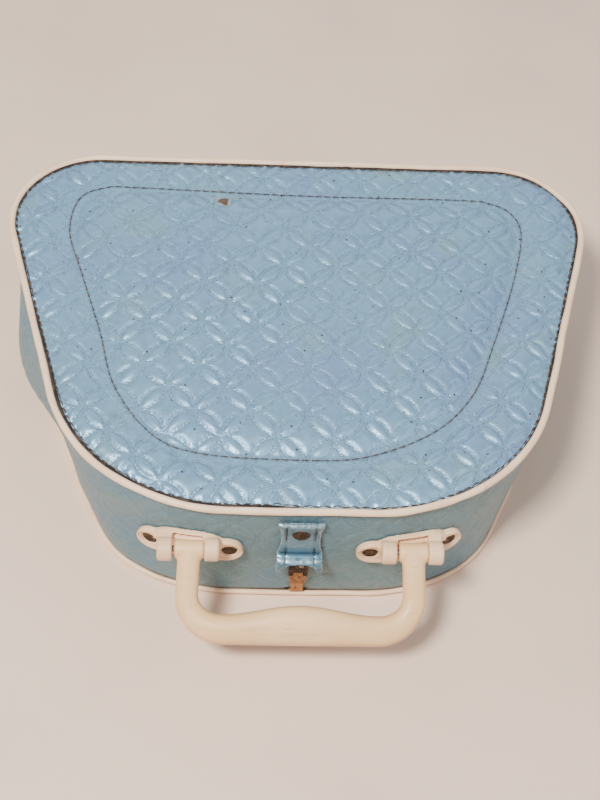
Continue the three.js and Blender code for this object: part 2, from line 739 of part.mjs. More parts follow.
function shellGroup() {
  const group = new THREE.Group();
  group.add(piece("wall_board", wallBoard(), greyBoard));
  group.add(piece("wall_cover", wallCover(), tealVinyl));
  group.add(piece("wall_lining", wallLining(), liningCloth));
  group.add(piece("hinge_tape_shell", hingeTapeShell(), liningCloth));
  group.add(piece("top_lining", panel(EDGE_INSET, TOP_LINING_Z, LINING), liningCloth));
  group.add(piece("top_board", panel(EDGE_INSET, TOP_BOARD_Z, BOARD), greyBoard));
  group.add(piece("top_foam", panel(EDGE_INSET + 2, TOP_FOAM_Z, FOAM), foam));
  group.add(piece("top_cover", panel(EDGE_INSET, TOP_COVER_Z, SKIN), paleBlueVinyl));
  group.add(piece("top_piping", piping(TOP_BEAD_Z), whiteVinyl));
  for (const [sideName, side] of Object.entries(SIDES)) {
    group.add(piece(`bracket_${sideName}`, bracket(side), creamPlastic));
    group.add(piece(`handle_pin_${sideName}`, handlePin(side), steel));
  }
  for (const place of [...rivetPlaces(), tabRivet]) {
    group.add(piece(place.name, wallRivet(place), agedBrass));
    group.add(piece(place.name.replace("rivet", "washer"), wallWasher(place), steel));
  }
  group.add(piece("tab_strap", tabStrap(), metallicVinyl));
  return group;
}

function tabGroup() {
  const group = new THREE.Group();
  group.add(piece("tab_flap", tabFlap(), metallicVinyl));
  group.add(piece("lock_body", lockBody(), agedBrass));
  group.add(piece("tongue_pin", tonguePin(), agedBrass));
  group.add(piece("lock_tongue", lockTongue(), agedBrass));
  return group;
}

function handleGroup() {
  const group = new THREE.Group();
  group.position.set(0, FRONT_Y - PIVOT_OUT, PIVOT_Z);
  group.rotation.x = HANDLE_DROOP;
  group.add(piece("handle", handle(), creamPlastic));
  return group;
}

const jewelleryCase = new THREE.Group();
jewelleryCase.add(baseGroup());
jewelleryCase.add(shellGroup());
jewelleryCase.add(tabGroup());
jewelleryCase.add(handleGroup());

export default jewelleryCase;
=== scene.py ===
from math import asin, atan, copysign, cos, pi, radians, sin, sqrt, tan

import bpy
import numpy as np
from mathutils import Matrix, Vector
from mathutils.bvhtree import BVHTree


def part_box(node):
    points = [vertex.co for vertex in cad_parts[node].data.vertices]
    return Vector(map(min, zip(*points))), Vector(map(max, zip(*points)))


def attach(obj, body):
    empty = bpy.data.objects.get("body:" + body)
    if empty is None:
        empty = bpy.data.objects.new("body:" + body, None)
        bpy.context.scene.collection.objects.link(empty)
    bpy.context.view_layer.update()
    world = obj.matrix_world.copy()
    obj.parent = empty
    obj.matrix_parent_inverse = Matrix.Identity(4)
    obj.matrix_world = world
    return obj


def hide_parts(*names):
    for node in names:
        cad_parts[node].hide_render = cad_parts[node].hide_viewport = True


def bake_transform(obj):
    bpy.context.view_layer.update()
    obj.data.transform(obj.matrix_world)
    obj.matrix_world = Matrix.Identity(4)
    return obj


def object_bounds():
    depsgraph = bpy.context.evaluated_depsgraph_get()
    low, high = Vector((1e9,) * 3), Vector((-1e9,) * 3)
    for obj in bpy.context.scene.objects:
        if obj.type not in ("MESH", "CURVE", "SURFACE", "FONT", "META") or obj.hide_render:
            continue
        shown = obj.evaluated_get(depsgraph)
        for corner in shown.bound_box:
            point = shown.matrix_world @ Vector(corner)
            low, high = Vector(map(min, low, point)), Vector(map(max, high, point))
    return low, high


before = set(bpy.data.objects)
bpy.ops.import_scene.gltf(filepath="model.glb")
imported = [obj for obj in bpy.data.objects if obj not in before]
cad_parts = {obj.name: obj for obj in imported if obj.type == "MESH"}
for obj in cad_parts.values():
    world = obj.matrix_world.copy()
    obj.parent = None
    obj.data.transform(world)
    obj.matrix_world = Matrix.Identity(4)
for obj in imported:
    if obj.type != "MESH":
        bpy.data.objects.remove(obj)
CAD_LOW, CAD_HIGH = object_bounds()
MM = 0.001

# Plan outline, in mm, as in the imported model: a straight front, wide front arcs, sloping sides, rear arcs
FRONT_Y = -106.25
REAR_Y = 106.25
FRONT_FLAT = 30
FRONT_RADIUS = 85.5
REAR_RADIUS = 42.5
SIDE_SLOPE = atan(0.285)
SIDE_BOW = 5
REAR_BOW = 2
CORNER_LEAN = 6.2
WALL_BOTTOM = 4
WALL_TOP = 64.5

BEAD = (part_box("top_piping")[1].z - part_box("top_piping")[0].z) / 2 / MM
TOP_BEAD_Z = (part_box("top_piping")[1].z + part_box("top_piping")[0].z) / 2 / MM
BASE_BEAD_Z = (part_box("base_piping")[1].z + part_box("base_piping")[0].z) / 2 / MM
COVER_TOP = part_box("wall_cover")[1].z / MM
PIVOT_OUT = 6.2
HANDLE_AXIS_Y = FRONT_Y - PIVOT_OUT
HANDLE_AXIS_Z = 49.3
BRACKET_X = 48.3
FRONT_DRAWN_IN = 0.5
FRONT_LIFT = 0.9

# Embossed pattern: overlapping circles on a square lattice
PETAL = 12.5 * sqrt(2)
PATTERN_TURN = radians(-1.55)
PATTERN_X = 28.1
PATTERN_Y = -31.2


def smooth(a, b, x):
    t = np.clip((np.asarray(x, float) - a) / (b - a), 0, 1)
    return t * t * (3 - 2 * t)


def bell(x, width):
    return np.exp(-((x / width) ** 2))


def waves(x, y, seed, size):
    """Slow seeded waviness between about -1 and 1."""
    rng = np.random.default_rng(seed)
    total = 0
    for _ in range(6):
        angle, phase = rng.uniform(0, 2 * pi, 2)
        stretch = rng.uniform(0.6, 1.6)
        total = total + np.sin((x * cos(angle) + y * sin(angle)) * 2 * pi * stretch / size + phase)
    return total / 3


# Outline


class Outline:
    """Stations all round the case: the right half from the front, then the left. The wall bows and leans."""

    def __init__(self):
        front_y = FRONT_Y + FRONT_RADIUS
        c, s = cos(SIDE_SLOPE), sin(SIDE_SLOPE)
        rear_y = REAR_Y - REAR_RADIUS
        start = (FRONT_FLAT + FRONT_RADIUS * c, front_y - FRONT_RADIUS * s)
        end_y = rear_y - REAR_RADIUS * s
        end = (start[0] + (end_y - start[1]) * tan(SIDE_SLOPE), end_y)
        rear_x = end[0] - REAR_RADIUS * c
        rows = []
        for t in np.linspace(0, 1, 16)[:-1]:
            rows.append((FRONT_FLAT * t, front_y, FRONT_RADIUS, -pi / 2, 0, 0))
        for t in np.linspace(0, 1, 72)[:-1]:
            a = -pi / 2 + (pi / 2 - SIDE_SLOPE) * t
            lean = CORNER_LEAN * float(smooth(radians(-57), radians(-28), a))
            rows.append((FRONT_FLAT, front_y, FRONT_RADIUS, a, 0, lean))
        for t in np.linspace(0, 1, 66)[:-1]:
            x, y = start[0] + (end[0] - start[0]) * t, start[1] + (end[1] - start[1]) * t
            lean = CORNER_LEAN * (1 - float(smooth(0, 0.55, t)))
            rows.append((x, y, 0, -SIDE_SLOPE, SIDE_BOW * sin(pi * t) ** 2, lean))
        for t in np.linspace(0, 1, 52)[:-1]:
            rows.append((rear_x, rear_y, REAR_RADIUS, -SIDE_SLOPE + (pi / 2 + SIDE_SLOPE) * t, 0, 0))
        for t in np.linspace(0, 1, 50):
            bow = REAR_BOW * sin(pi * t / 2) ** 2
            rows.append((rear_x * (1 - t), REAR_Y, 0, pi / 2, bow, 0))
        right = np.array(rows, float)
        left = right[1:-1][::-1].copy()
        left[:, 0] *= -1
        left[:, 3] = pi - left[:, 3]
        # the left side has bulged a little further than the right
        right[:, 4] *= 0.85
        left[:, 4] *= 1.75
        self.rows = np.vstack([right, left])
        self.count = len(self.rows)
        points = self.at(0, TOP_BEAD_Z)
        steps = np.linalg.norm(np.roll(points, -1, 0) - points, axis=1)
        self.arc = np.concatenate([[0], np.cumsum(steps)[:-1]])

    def at(self, out, z):
        """Points in mm at an offset outwards from the outline (one number or one for each station)."""
        cx, cy, radius, angle, bow, lean = self.rows.T
        h = np.clip((z - WALL_BOTTOM) / (WALL_TOP - WALL_BOTTOM), 0, 1)
        reach = radius + out + bow * np.sin(pi * h) - lean * (1 - h)
        reach = reach - FRONT_DRAWN_IN * self.frontness() * smooth(0.75, 1, h)
        level = np.full(self.count, 1.0) * z
        return np.stack([cx + reach * np.cos(angle), cy + reach * np.sin(angle), level], 1)

    def frontness(self):
        """1 along the front, fading round the corners: here the top edge is drawn in and lifted a little."""
        return smooth(0.6, 0.96, -np.sin(self.rows[:, 3]))


OUTLINE = Outline()


def spline(points, steps, closed=True):
    """Catmull-Rom curve through points, as an array."""
    p = np.array(points, float)
    n = len(p)
    out = []
    for i in range(n if closed else n - 1):
        a, b, c, d = (p[(i + k) % n] if closed else p[min(max(i + k, 0), n - 1)] for k in (-1, 0, 1, 2))
        for t in np.linspace(0, 1, steps, endpoint=False):
            bend, twist = 2 * a - 5 * b + 4 * c - d, 3 * b - a - 3 * c + d
            out.append(0.5 * (2 * b + (c - a) * t + bend * t**2 + twist * t**3))
    if not closed:
        out.append(p[-1])
    return np.array(out)


def resample(points, count, closed=True):
    p = np.vstack([points, points[:1]]) if closed else np.asarray(points)
    length = np.concatenate([[0], np.cumsum(np.linalg.norm(np.diff(p, axis=0), axis=1))])
    at = np.linspace(0, length[-1], count, endpoint=not closed)
    return np.stack([np.interp(at, length, p[:, k]) for k in range(p.shape[1])], 1), length[-1]


# The stitched line inside the top's edge; it wanders, and is fuller at the left
SEAM_RIGHT = [(29, -76), (59, -62), (78, -41), (90, -12), (104, 29), (111, 60),
              (107.5, 74.5), (97, 81.5), (80, 83.4)]
SEAM_LEFT = [(-80, 86), (-97, 85.4), (-109.5, 77), (-112.5, 55), (-104.5, 28), (-93, -8),
             (-84, -40), (-66, -66), (-44, -76)]
SEAM = resample(spline([(0, -78.5), *SEAM_RIGHT, (0, 83.4), *SEAM_LEFT], 24), 900)[0]


def distance_to(curve, x, y):
    """Distance of each point to a closed curve of points."""
    best = np.full(x.shape, 1e9)
    for px, py in curve[::3, :2]:
        best = np.minimum(best, (x - px) ** 2 + (y - py) ** 2)
    return np.sqrt(best)


def inside(curve, x, y):
    """Whether each point is within a closed curve of points."""
    coarse = curve[::4]
    hits = np.zeros(x.shape, bool)
    for (ax, ay), (bx, by) in zip(coarse, np.roll(coarse, -1, 0)):
        crosses = (ay > y) != (by > y)
        with np.errstate(divide="ignore", invalid="ignore"):
            at = ax + (bx - ax) * (y - ay) / (by - ay)
        hits ^= crosses & (x < at)
    return hits


def petal_edge(x, y):
    """mm inside the nearest petal's outline, negative outside."""
    c, s = cos(PATTERN_TURN), sin(PATTERN_TURN)
    dx, dy = x - PATTERN_X, y - PATTERN_Y
    a, b = dx * c + dy * s, -dx * s + dy * c
    p, q = (a + b) / sqrt(2) / PETAL, (b - a) / sqrt(2) / PETAL
    u, w = np.abs(p - np.floor(p) - 0.5), np.abs(q - np.floor(q) - 0.5)
    big, low = np.maximum(u, w), np.minimum(u, w)
    return (sqrt(0.5) - np.sqrt((1 - big) ** 2 + low**2)) * PETAL


GROOVE = 0.35


def emboss(x, y):
    """Relief in mm: puffed petals and fields between them, with a pressed groove along each petal."""
    e = petal_edge(x, y) - GROOVE
    groove = bell(e, 1.15)
    crown = np.where(e > 0, 0.4 * smooth(0, 3.3, e), 0.12 * smooth(0, 4, -e))
    return 0.4 - 1.05 * groove + crown


# Meshes


def new_object(name, data):
    obj = bpy.data.objects.new(name, data)
    bpy.context.scene.collection.objects.link(obj)
    return obj


def shade_smooth(mesh):
    mesh.polygons.foreach_set("use_smooth", [True] * len(mesh.polygons))


def mesh_piece(name, verts_mm, faces):
    mesh = bpy.data.meshes.new(name)
    mesh.from_pydata((np.asarray(verts_mm, float) * MM).tolist(), [], [list(f) for f in faces])
    mesh.validate()
    shade_smooth(mesh)
    return new_object(name, mesh)


def put_attribute(obj, name, values):
    values = np.asarray(values, np.float32)
    if values.ndim == 1:
        obj.data.attributes.new(name, "FLOAT", "POINT").data.foreach_set("value", values)
    else:
        obj.data.attributes.new(name, "FLOAT_VECTOR", "POINT").data.foreach_set("vector", values.ravel())


def ring_faces(rings, around, closed_rings=False):
    """Quads between rings of points; a ring is closed on itself."""
    faces = []
    last = rings if closed_rings else rings - 1
    for i in range(last):
        a, b = i * around, ((i + 1) % rings) * around
        for j in range(around):
            k = (j + 1) % around
            faces.append((a + j, a + k, b + k, b + j))
    return faces


def capped_faces(rings, around):
    """The same for an open row of rings, with a face over each end."""
    caps = [tuple(range(around))[::-1], tuple((rings - 1) * around + j for j in range(around))]
    return ring_faces(rings, around) + caps


def circle(count):
    """Cosine and sine at even steps round a circle."""
    return [(cos(2 * pi * j / count), sin(2 * pi * j / count)) for j in range(count)]


def tube(name, path, radius, sides=10, closed=True, flat=None):
    """Tube of a radius (a number or one for each point) along a path in mm."""
    path = np.asarray(path, float)
    n = len(path)
    radius = np.broadcast_to(np.asarray(radius, float), (n,))
    if closed:
        along = np.roll(path, -1, 0) - np.roll(path, 1, 0)
    else:
        along = np.gradient(path, axis=0)
    along /= np.linalg.norm(along, axis=1)[:, None]
    up = np.tile([0.0, 0.0, 1.0], (n, 1)) if flat is None else np.tile(np.asarray(flat, float), (n, 1))
    side = np.cross(along, up)
    side /= np.linalg.norm(side, axis=1)[:, None]
    up = np.cross(side, along)
    steps = circle(sides)
    verts = [path[i] + radius[i] * (c * side[i] + s * up[i]) for i in range(n) for c, s in steps]
    return mesh_piece(name, verts, ring_faces(n, sides, True) if closed else capped_faces(n, sides))


def stitches(name, path, normal, pitch, length, radius, closed=True, sink=0.1, seed=1):
    """Separate short stitches along a path in mm, each a little arched thread."""
    count = max(2, int(round(resample(path, 8, closed)[1] / pitch)))
    rng = np.random.default_rng(seed)
    fine_steps = 12
    fine = resample(path, count * fine_steps + (0 if closed else 1), closed)[0]
    fine_normal = np.broadcast_to(normal, np.shape(path)) if np.ndim(normal) == 1 else normal
    index = np.linspace(0, len(path) - 1, len(fine)).round().astype(int)
    fine_normal = np.asarray(fine_normal)[index]
    sides, rings = 6, 7
    verts, faces = [], []
    for s in range(count):
        start = s * fine_steps
        share = length / pitch * rng.uniform(0.92, 1.06)
        if start + fine_steps * share >= len(fine) - 1 and not closed:
            break
        base = len(verts)
        wide = radius * rng.uniform(0.85, 1.15)
        for r in range(rings):
            t = r / (rings - 1)
            k = start + fine_steps * share * t
            lo = int(k) % len(fine)
            hi = (lo + 1) % len(fine)
            f = k - int(k)
            p = fine[lo] * (1 - f) + fine[hi] * f
            d = fine[hi] - fine[lo]
            d /= max(np.linalg.norm(d), 1e-9)
            up = fine_normal[lo]
            side = np.cross(d, up)
            side /= np.linalg.norm(side)
            swell = sin(pi * min(max(t, 0.06), 0.94)) ** 0.45
            lift = -sink + 0.7 * radius * sin(pi * t)
            verts += [p + up * lift + wide * swell * (c * side + s * up) for c, s in circle(sides)]
        faces += [tuple(base + f for f in face) for face in capped_faces(rings, sides)]
    return mesh_piece(name, verts, faces)


def points_of(mesh):
    return np.array([v.co for v in mesh.vertices]) / MM


def applied(obj):
    """The object's mesh with its modifiers applied, in place."""
    graph = bpy.context.evaluated_depsgraph_get()
    mesh = bpy.data.meshes.new_from_object(obj.evaluated_get(graph))
    obj.modifiers.clear()
    obj.data = mesh


def soften(obj, voxel, passes):
    """Rounds a hard shape as a moulding or casting would be."""
    remesh = obj.modifiers.new("even", "REMESH")
    remesh.mode = "VOXEL"
    remesh.voxel_size = voxel * MM
    remesh.use_smooth_shade = True
    if passes:
        relax = obj.modifiers.new("round", "SMOOTH")
        relax.factor = 0.5
        relax.iterations = passes
    return obj


def join(name, objects):
    """One object from several, in rest position."""
    verts, faces = [], []
    for o in objects:
        base = len(verts)
        verts += [tuple(v.co / MM) for v in o.data.vertices]
        faces += [tuple(base + i for i in p.vertices) for p in o.data.polygons]
        bpy.data.objects.remove(o)
    return mesh_piece(name, verts, faces)


# Materials


class Nodes:
    """A small writer of shader nodes."""

    def __init__(self, tree):
        self.tree = tree

    def add(self, kind, **values):
        node = self.tree.nodes.new(kind)
        for key, value in values.items():
            setattr(node, key, value)
        return node

    def wire(self, target, value):
        if isinstance(value, bpy.types.NodeSocket):
            self.tree.links.new(value, target)
        else:
            target.default_value = value

    def math(self, operation, a, b=None):
        node = self.add("ShaderNodeMath", operation=operation)
        for socket, value in zip(node.inputs, (a, b)):
            if value is not None:
                self.wire(socket, value)
        return node.outputs[0]

    def gap(self, a, b):
        return self.math("ABSOLUTE", self.math("SUBTRACT", a, b))

    def times(self, a, b):
        return self.math("MULTIPLY", a, b)

    def ease(self, value, low, high, start=0.0, end=1.0):
        node = self.add("ShaderNodeMapRange", interpolation_type="SMOOTHSTEP")
        keys = ("Value", "From Min", "From Max", "To Min", "To Max")
        for key, v in zip(keys, (value, low, high, start, end)):
            self.wire(node.inputs[key], v)
        return node.outputs["Result"]

    def mix(self, share, a, b):
        node = self.add("ShaderNodeMix", data_type="RGBA")
        self.wire(node.inputs["Factor"], share)
        for key, v in (("A", a), ("B", b)):
            socket = next(s for s in node.inputs if s.name == key and s.type == "RGBA")
            self.wire(socket, (*v, 1) if isinstance(v, tuple) and len(v) == 3 else v)
        return next(s for s in node.outputs if s.type == "RGBA")

    def noise(self, place, scale, detail=3.0, rough=0.5, stretch=None):
        node = self.add("ShaderNodeTexNoise")
        if stretch is not None:
            node_map = self.add("ShaderNodeVectorMath", operation="MULTIPLY")
            self.wire(node_map.inputs[0], place)
            node_map.inputs[1].default_value = stretch
            place = node_map.outputs[0]
        self.wire(node.inputs["Vector"], place)
        node.inputs["Scale"].default_value = scale
        node.inputs["Detail"].default_value = detail
        node.inputs["Roughness"].default_value = rough
        return node.outputs["Fac"]

    def patches(self, place, scale, detail, low, high, start=0.0, end=1.0, rough=0.5, stretch=None):
        """Noise eased from one level to another."""
        return self.ease(self.noise(place, scale, detail, rough, stretch), low, high, start, end)

    def toward(self, colour, share, amount, other):
        """A colour moved towards another by a share times an amount."""
        return self.mix(self.times(share, amount), colour, other)

    def cells(self, place, scale, dimensions="3D"):
        node = self.add("ShaderNodeTexVoronoi", voronoi_dimensions=dimensions)
        self.wire(node.inputs["Vector"], place)
        node.inputs["Scale"].default_value = scale
        return node.outputs["Distance"]

    def place(self, attribute=None):
        if attribute:
            return self.add("ShaderNodeAttribute", attribute_name=attribute).outputs["Vector"]
        return self.add("ShaderNodeTexCoord").outputs["Object"]

    def level(self, attribute):
        return self.add("ShaderNodeAttribute", attribute_name=attribute).outputs["Fac"]

    def bump(self, height, strength, distance, below=None):
        node = self.add("ShaderNodeBump")
        node.inputs["Strength"].default_value = strength
        node.inputs["Distance"].default_value = distance * MM
        self.wire(node.inputs["Height"], height)
        if below is not None:
            self.wire(node.inputs["Normal"], below)
        return node.outputs["Normal"]


def material(name, build, **fixed):
    """A material with a Principled shader; build(nodes) returns what is wired to its sockets."""
    mat = bpy.data.materials.new(name)
    mat.use_nodes = True
    nodes = Nodes(mat.node_tree)
    shader = mat.node_tree.nodes["Principled BSDF"]
    for key, value in fixed.items():
        shader.inputs[key.replace("_", " ")].default_value = value
    for key, value in build(nodes).items():
        nodes.wire(shader.inputs[key], value)
    return mat


def sockets(colour, normal, rough=None):
    """What is wired to a shader; the roughness only where it varies."""
    wired = {"Base Color": colour, "Normal": normal}
    return wired if rough is None else {**wired, "Roughness": rough}


def linear(r, g, b):
    """Linear colour from display values of 0 to 255."""
    return tuple(((v / 255 + 0.055) / 1.055) ** 2.4 if v > 10 else v / 255 / 12.92 for v in (r, g, b))


def petal_nodes(n, place):
    """The pattern's distance inside a petal, in mm, from a place in metres."""
    c, s = cos(PATTERN_TURN), sin(PATTERN_TURN)
    k = 1 / sqrt(2) / PETAL / MM
    rows = (((c - s) * k, (s + c) * k), (-(s + c) * k, (c - s) * k))
    halves = []
    for gx, gy in rows:
        dot = n.add("ShaderNodeVectorMath", operation="DOT_PRODUCT")
        n.wire(dot.inputs[0], place)
        dot.inputs[1].default_value = (gx, gy, 0)
        shifted = n.math("SUBTRACT", dot.outputs["Value"], (PATTERN_X * gx + PATTERN_Y * gy) * MM - 400)
        part = n.math("FRACT", shifted)
        halves.append(n.gap(part, 0.5))
    big = n.math("MAXIMUM", *halves)
    low = n.math("MINIMUM", *halves)
    far = n.math("SUBTRACT", 1.0, big)
    reach = n.math("SQRT", n.math("ADD", n.times(far, far), n.times(low, low)))
    return n.times(n.math("SUBTRACT", sqrt(0.5), reach), PETAL)


def vinyl(n, main, cool, warm, dirt, strength, specks):
    """Embossed vinyl: slow tints, a dotted groove along each petal with a painted highlight on its
    shoulders, fine grain, dirt and dark specks.
    """
    place = n.place("pat")
    edge = petal_nodes(n, place)
    slow = n.noise(place, 16, 2)
    slow2 = n.noise(place, 31, 3)
    colour = n.mix(n.ease(slow, 0.42, 0.66), main, cool)
    colour = n.mix(n.ease(slow2, 0.5, 0.72, 0, 0.75), colour, warm)
    mottle = n.noise(place, 240, 4, 0.6)
    colour = n.mix(n.ease(mottle, 0.35, 0.75, 0, 0.22), colour, dirt)
    # the pressed groove: a bed of darker dots, and lighter shoulders in patches that are a painted highlight
    dots = n.cells(place, 900)
    away = n.gap(edge, GROOVE)
    bed = n.ease(away, 0.25, 1.5, 1, 0)
    shoulder = n.ease(n.gap(away, 1.35), 0.0, 0.6, 1, 0)
    row = n.ease(n.gap(away, 0.6), 0.0, 0.45, 1, 0)
    # painted highlight: lighter patches on the groove's shoulders, where the slopes catch the light
    painted_highlight = n.times(shoulder, n.patches(place, 700, 2, 0.46, 0.62))
    colour = n.toward(colour, painted_highlight, 0.22 * strength, (0.62, 0.78, 0.88))
    # darker dots along both flanks of the groove
    dark_dots = n.times(row, n.ease(dots, 0.42, 0.62, 1, 0))
    colour = n.toward(colour, dark_dots, 0.5 * strength, dirt)
    # specks
    spot = n.ease(n.cells(place, 62, "2D"), 0.02, 0.04, 1, 0)
    chosen = n.patches(place, 47, 1, 0.5, 0.53)
    colour = n.mix(n.times(n.times(spot, chosen), specks), colour, (0.035, 0.025, 0.018))
    grain = n.cells(place, 1500)
    height = n.math("ADD", n.times(dots, n.times(bed, 1.5)), n.times(painted_highlight, 0.5))
    normal = n.bump(grain, 0.12, 0.12)
    normal = n.bump(n.noise(place, 420, 3), 0.25, 0.25, normal)
    normal = n.bump(height, 0.6 * strength, 0.3, normal)
    rough = n.patches(place, 300, 3, 0.3, 0.8, 0.38, 0.52)
    return place, colour, normal, rough


def top_vinyl(n):
    tints = linear(128, 170, 199), linear(126, 162, 201), linear(134, 174, 188), linear(72, 88, 101)
    place, colour, normal, rough = vinyl(n, *tints, 1.0, 0.95)
    # painted shade: the cover darkened along the seam and next to the piping
    crease = n.level("crease")
    shade = n.toward(colour, crease, 0.85, linear(66, 54, 52))
    # the worn-through spot near the rear left
    away = n.add("ShaderNodeVectorMath", operation="DISTANCE")
    n.wire(away.inputs[0], place)
    away.inputs[1].default_value = (-0.0381, 0.0768, 0)
    ragged = n.math("ADD", away.outputs["Value"], n.times(n.noise(place, 330, 3), 0.0036))
    hole = n.ease(ragged, 0.0046, 0.0051, 1, 0)
    rim = n.ease(ragged, 0.005, 0.006, 1, 0)
    shade = n.toward(shade, rim, 0.5, linear(196, 196, 186))
    shade = n.mix(hole, shade, linear(104, 82, 62))
    return sockets(shade, normal, rough)


def side_vinyl(n):
    # the wall's tints are darker than the top's: partly the wall vinyl's own more teal tone, partly painted
    # shade for the upright wall that gets less light
    tints = linear(100, 132, 140), linear(88, 126, 146), linear(114, 136, 136), linear(70, 86, 92)
    _, colour, normal, rough = vinyl(n, *tints, 0.5, 0.6)
    # painted shade along the foot of the wall and just under the top piping
    low = n.level("crease")
    colour = n.toward(colour, low, 0.7, linear(66, 60, 58))
    return sockets(colour, normal, rough)


def under_vinyl(n):
    place = n.place()
    colour = n.mix(n.patches(place, 40, 4, 0.4, 0.7), linear(122, 141, 146), linear(102, 118, 122))
    scuff = n.patches(place, 90, 5, 0.58, 0.75, rough=0.7, stretch=(1, 4, 1))
    colour = n.toward(colour, scuff, 0.5, linear(150, 150, 144))
    normal = n.bump(n.cells(place, 900), 0.3, 0.25)
    return sockets(colour, normal, n.ease(scuff, 0, 1, 0.5, 0.65))


def tab_vinyl(n):
    place = n.place("pat")
    colour = n.mix(n.patches(place, 120, 3, 0.35, 0.7), linear(88, 134, 156), linear(68, 116, 142))
    colour = n.mix(n.patches(place, 210, 3, 0.55, 0.75, 0, 0.5), colour, linear(124, 132, 146))
    # painted shade in the lip's fold and along the sewn lines
    crease = n.level("crease")
    colour = n.toward(colour, crease, 0.85, linear(12, 62, 92))
    # painted highlight: the rolled top, the lip's fold and the side edges lightened in patches
    painted_highlight = n.times(n.level("painted_highlight"), n.patches(place, 700, 3, 0.35, 0.6))
    colour = n.toward(colour, painted_highlight, 0.7, linear(186, 200, 204))
    normal = n.bump(n.noise(place, 500, 3), 0.3, 0.3)
    normal = n.bump(n.cells(place, 1700), 0.12, 0.12, normal)
    return sockets(colour, normal, n.patches(place, 300, 2, 0.3, 0.7, 0.24, 0.4))


def bead_vinyl(n):
    place = n.place()
    colour = n.mix(n.patches(place, 55, 3, 0.38, 0.68), linear(255, 222, 186), linear(246, 206, 174))
    grime = n.patches(place, 170, 5, 0.6, 0.78, rough=0.65)
    colour = n.toward(colour, grime, 0.45, linear(158, 128, 104))
    normal = n.bump(n.noise(place, 700, 3), 0.25, 0.2)
    return sockets(colour, normal, n.ease(grime, 0, 1, 0.42, 0.6))


def ivory(n, body, second):
    place = n.place()
    colour = n.mix(n.patches(place, 38, 3, 0.36, 0.66), body, second)
    streak = n.noise(place, 90, 4, 0.6, (0.35, 1.6, 1.6))
    colour = n.mix(n.ease(streak, 0.52, 0.75, 0, 0.35), colour, linear(196, 164, 132))
    scratch = n.patches(place, 600, 2, 0.68, 0.74, rough=0.5, stretch=(0.15, 1.5, 1.5))
    colour = n.toward(colour, scratch, 0.25, linear(150, 118, 92))
    speck = n.ease(n.cells(place, 210), 0.03, 0.09, 1, 0)
    chosen = n.patches(place, 150, 1, 0.6, 0.64)
    colour = n.mix(n.times(n.times(speck, chosen), 0.6), colour, linear(90, 66, 48))
    normal = n.bump(n.noise(place, 160, 3), 0.12, 0.3)
    normal = n.bump(n.noise(place, 1600, 2), 0.12, 0.08, normal)
    return sockets(colour, normal, n.patches(place, 200, 3, 0.3, 0.75, 0.34, 0.5))


def rusty(n, metal, rust, amount):
    place = n.place()
    spread = n.patches(place, 420, 5, 0.62 - 0.3 * amount, 0.78 - 0.3 * amount, rough=0.65)
    colour = n.mix(spread, metal, rust)
    dark = n.patches(place, 800, 4, 0.5, 0.7, rough=0.7)
    colour = n.toward(colour, dark, 0.75, linear(38, 27, 20))
    normal = n.bump(n.noise(place, 1100, 5, 0.7), 0.55, 0.3)
    return {
        "Base Color": colour,
        "Metallic": n.ease(spread, 0, 1, 0.9, 0.25),
        "Normal": normal,
        "Roughness": n.ease(spread, 0, 1, 0.3, 0.72),
    }


def thread(n):
    place = n.place()
    colour = n.mix(n.patches(place, 500, 3, 0.35, 0.65), linear(58, 42, 36), linear(98, 78, 66))
    normal = n.bump(n.noise(place, 2600, 2, 0.5), 0.5, 0.15)
    return sockets(colour, normal)


# Painted shadow: a near-black colour for the tube in the groove between the top's cover and its piping
def painted_groove_shadow(n):
    place = n.place()
    colour = n.mix(n.patches(place, 260, 4, 0.4, 0.66), linear(30, 25, 24), linear(74, 60, 52))
    return sockets(colour, n.bump(n.noise(place, 900, 3), 0.4, 0.3))


def board_material(n):
    place = n.place()
    fibres = n.patches(place, 160, 5, 0.38, 0.66, rough=0.65)
    colour = n.mix(fibres, linear(150, 132, 104), linear(118, 100, 78))
    return sockets(colour, n.bump(n.noise(place, 700, 5, 0.7), 0.5, 0.3))


def lining_cloth(n):
    place = n.place()
    parts = n.add("ShaderNodeSeparateXYZ")
    n.wire(parts.inputs[0], place)
    across = n.math("SINE", n.times(n.math("ADD", parts.outputs[0], parts.outputs[2]), 5200.0))
    up = n.math("SINE", n.times(n.math("ADD", parts.outputs[1], parts.outputs[2]), 5200.0))
    weave = n.times(across, up)
    colour = n.mix(n.patches(place, 24, 4, 0.4, 0.66), linear(214, 206, 190), linear(196, 184, 162))
    colour = n.mix(n.ease(weave, -1, 1, 0, 0.18), colour, linear(160, 148, 128))
    return sockets(colour, n.bump(weave, 0.5, 0.12))


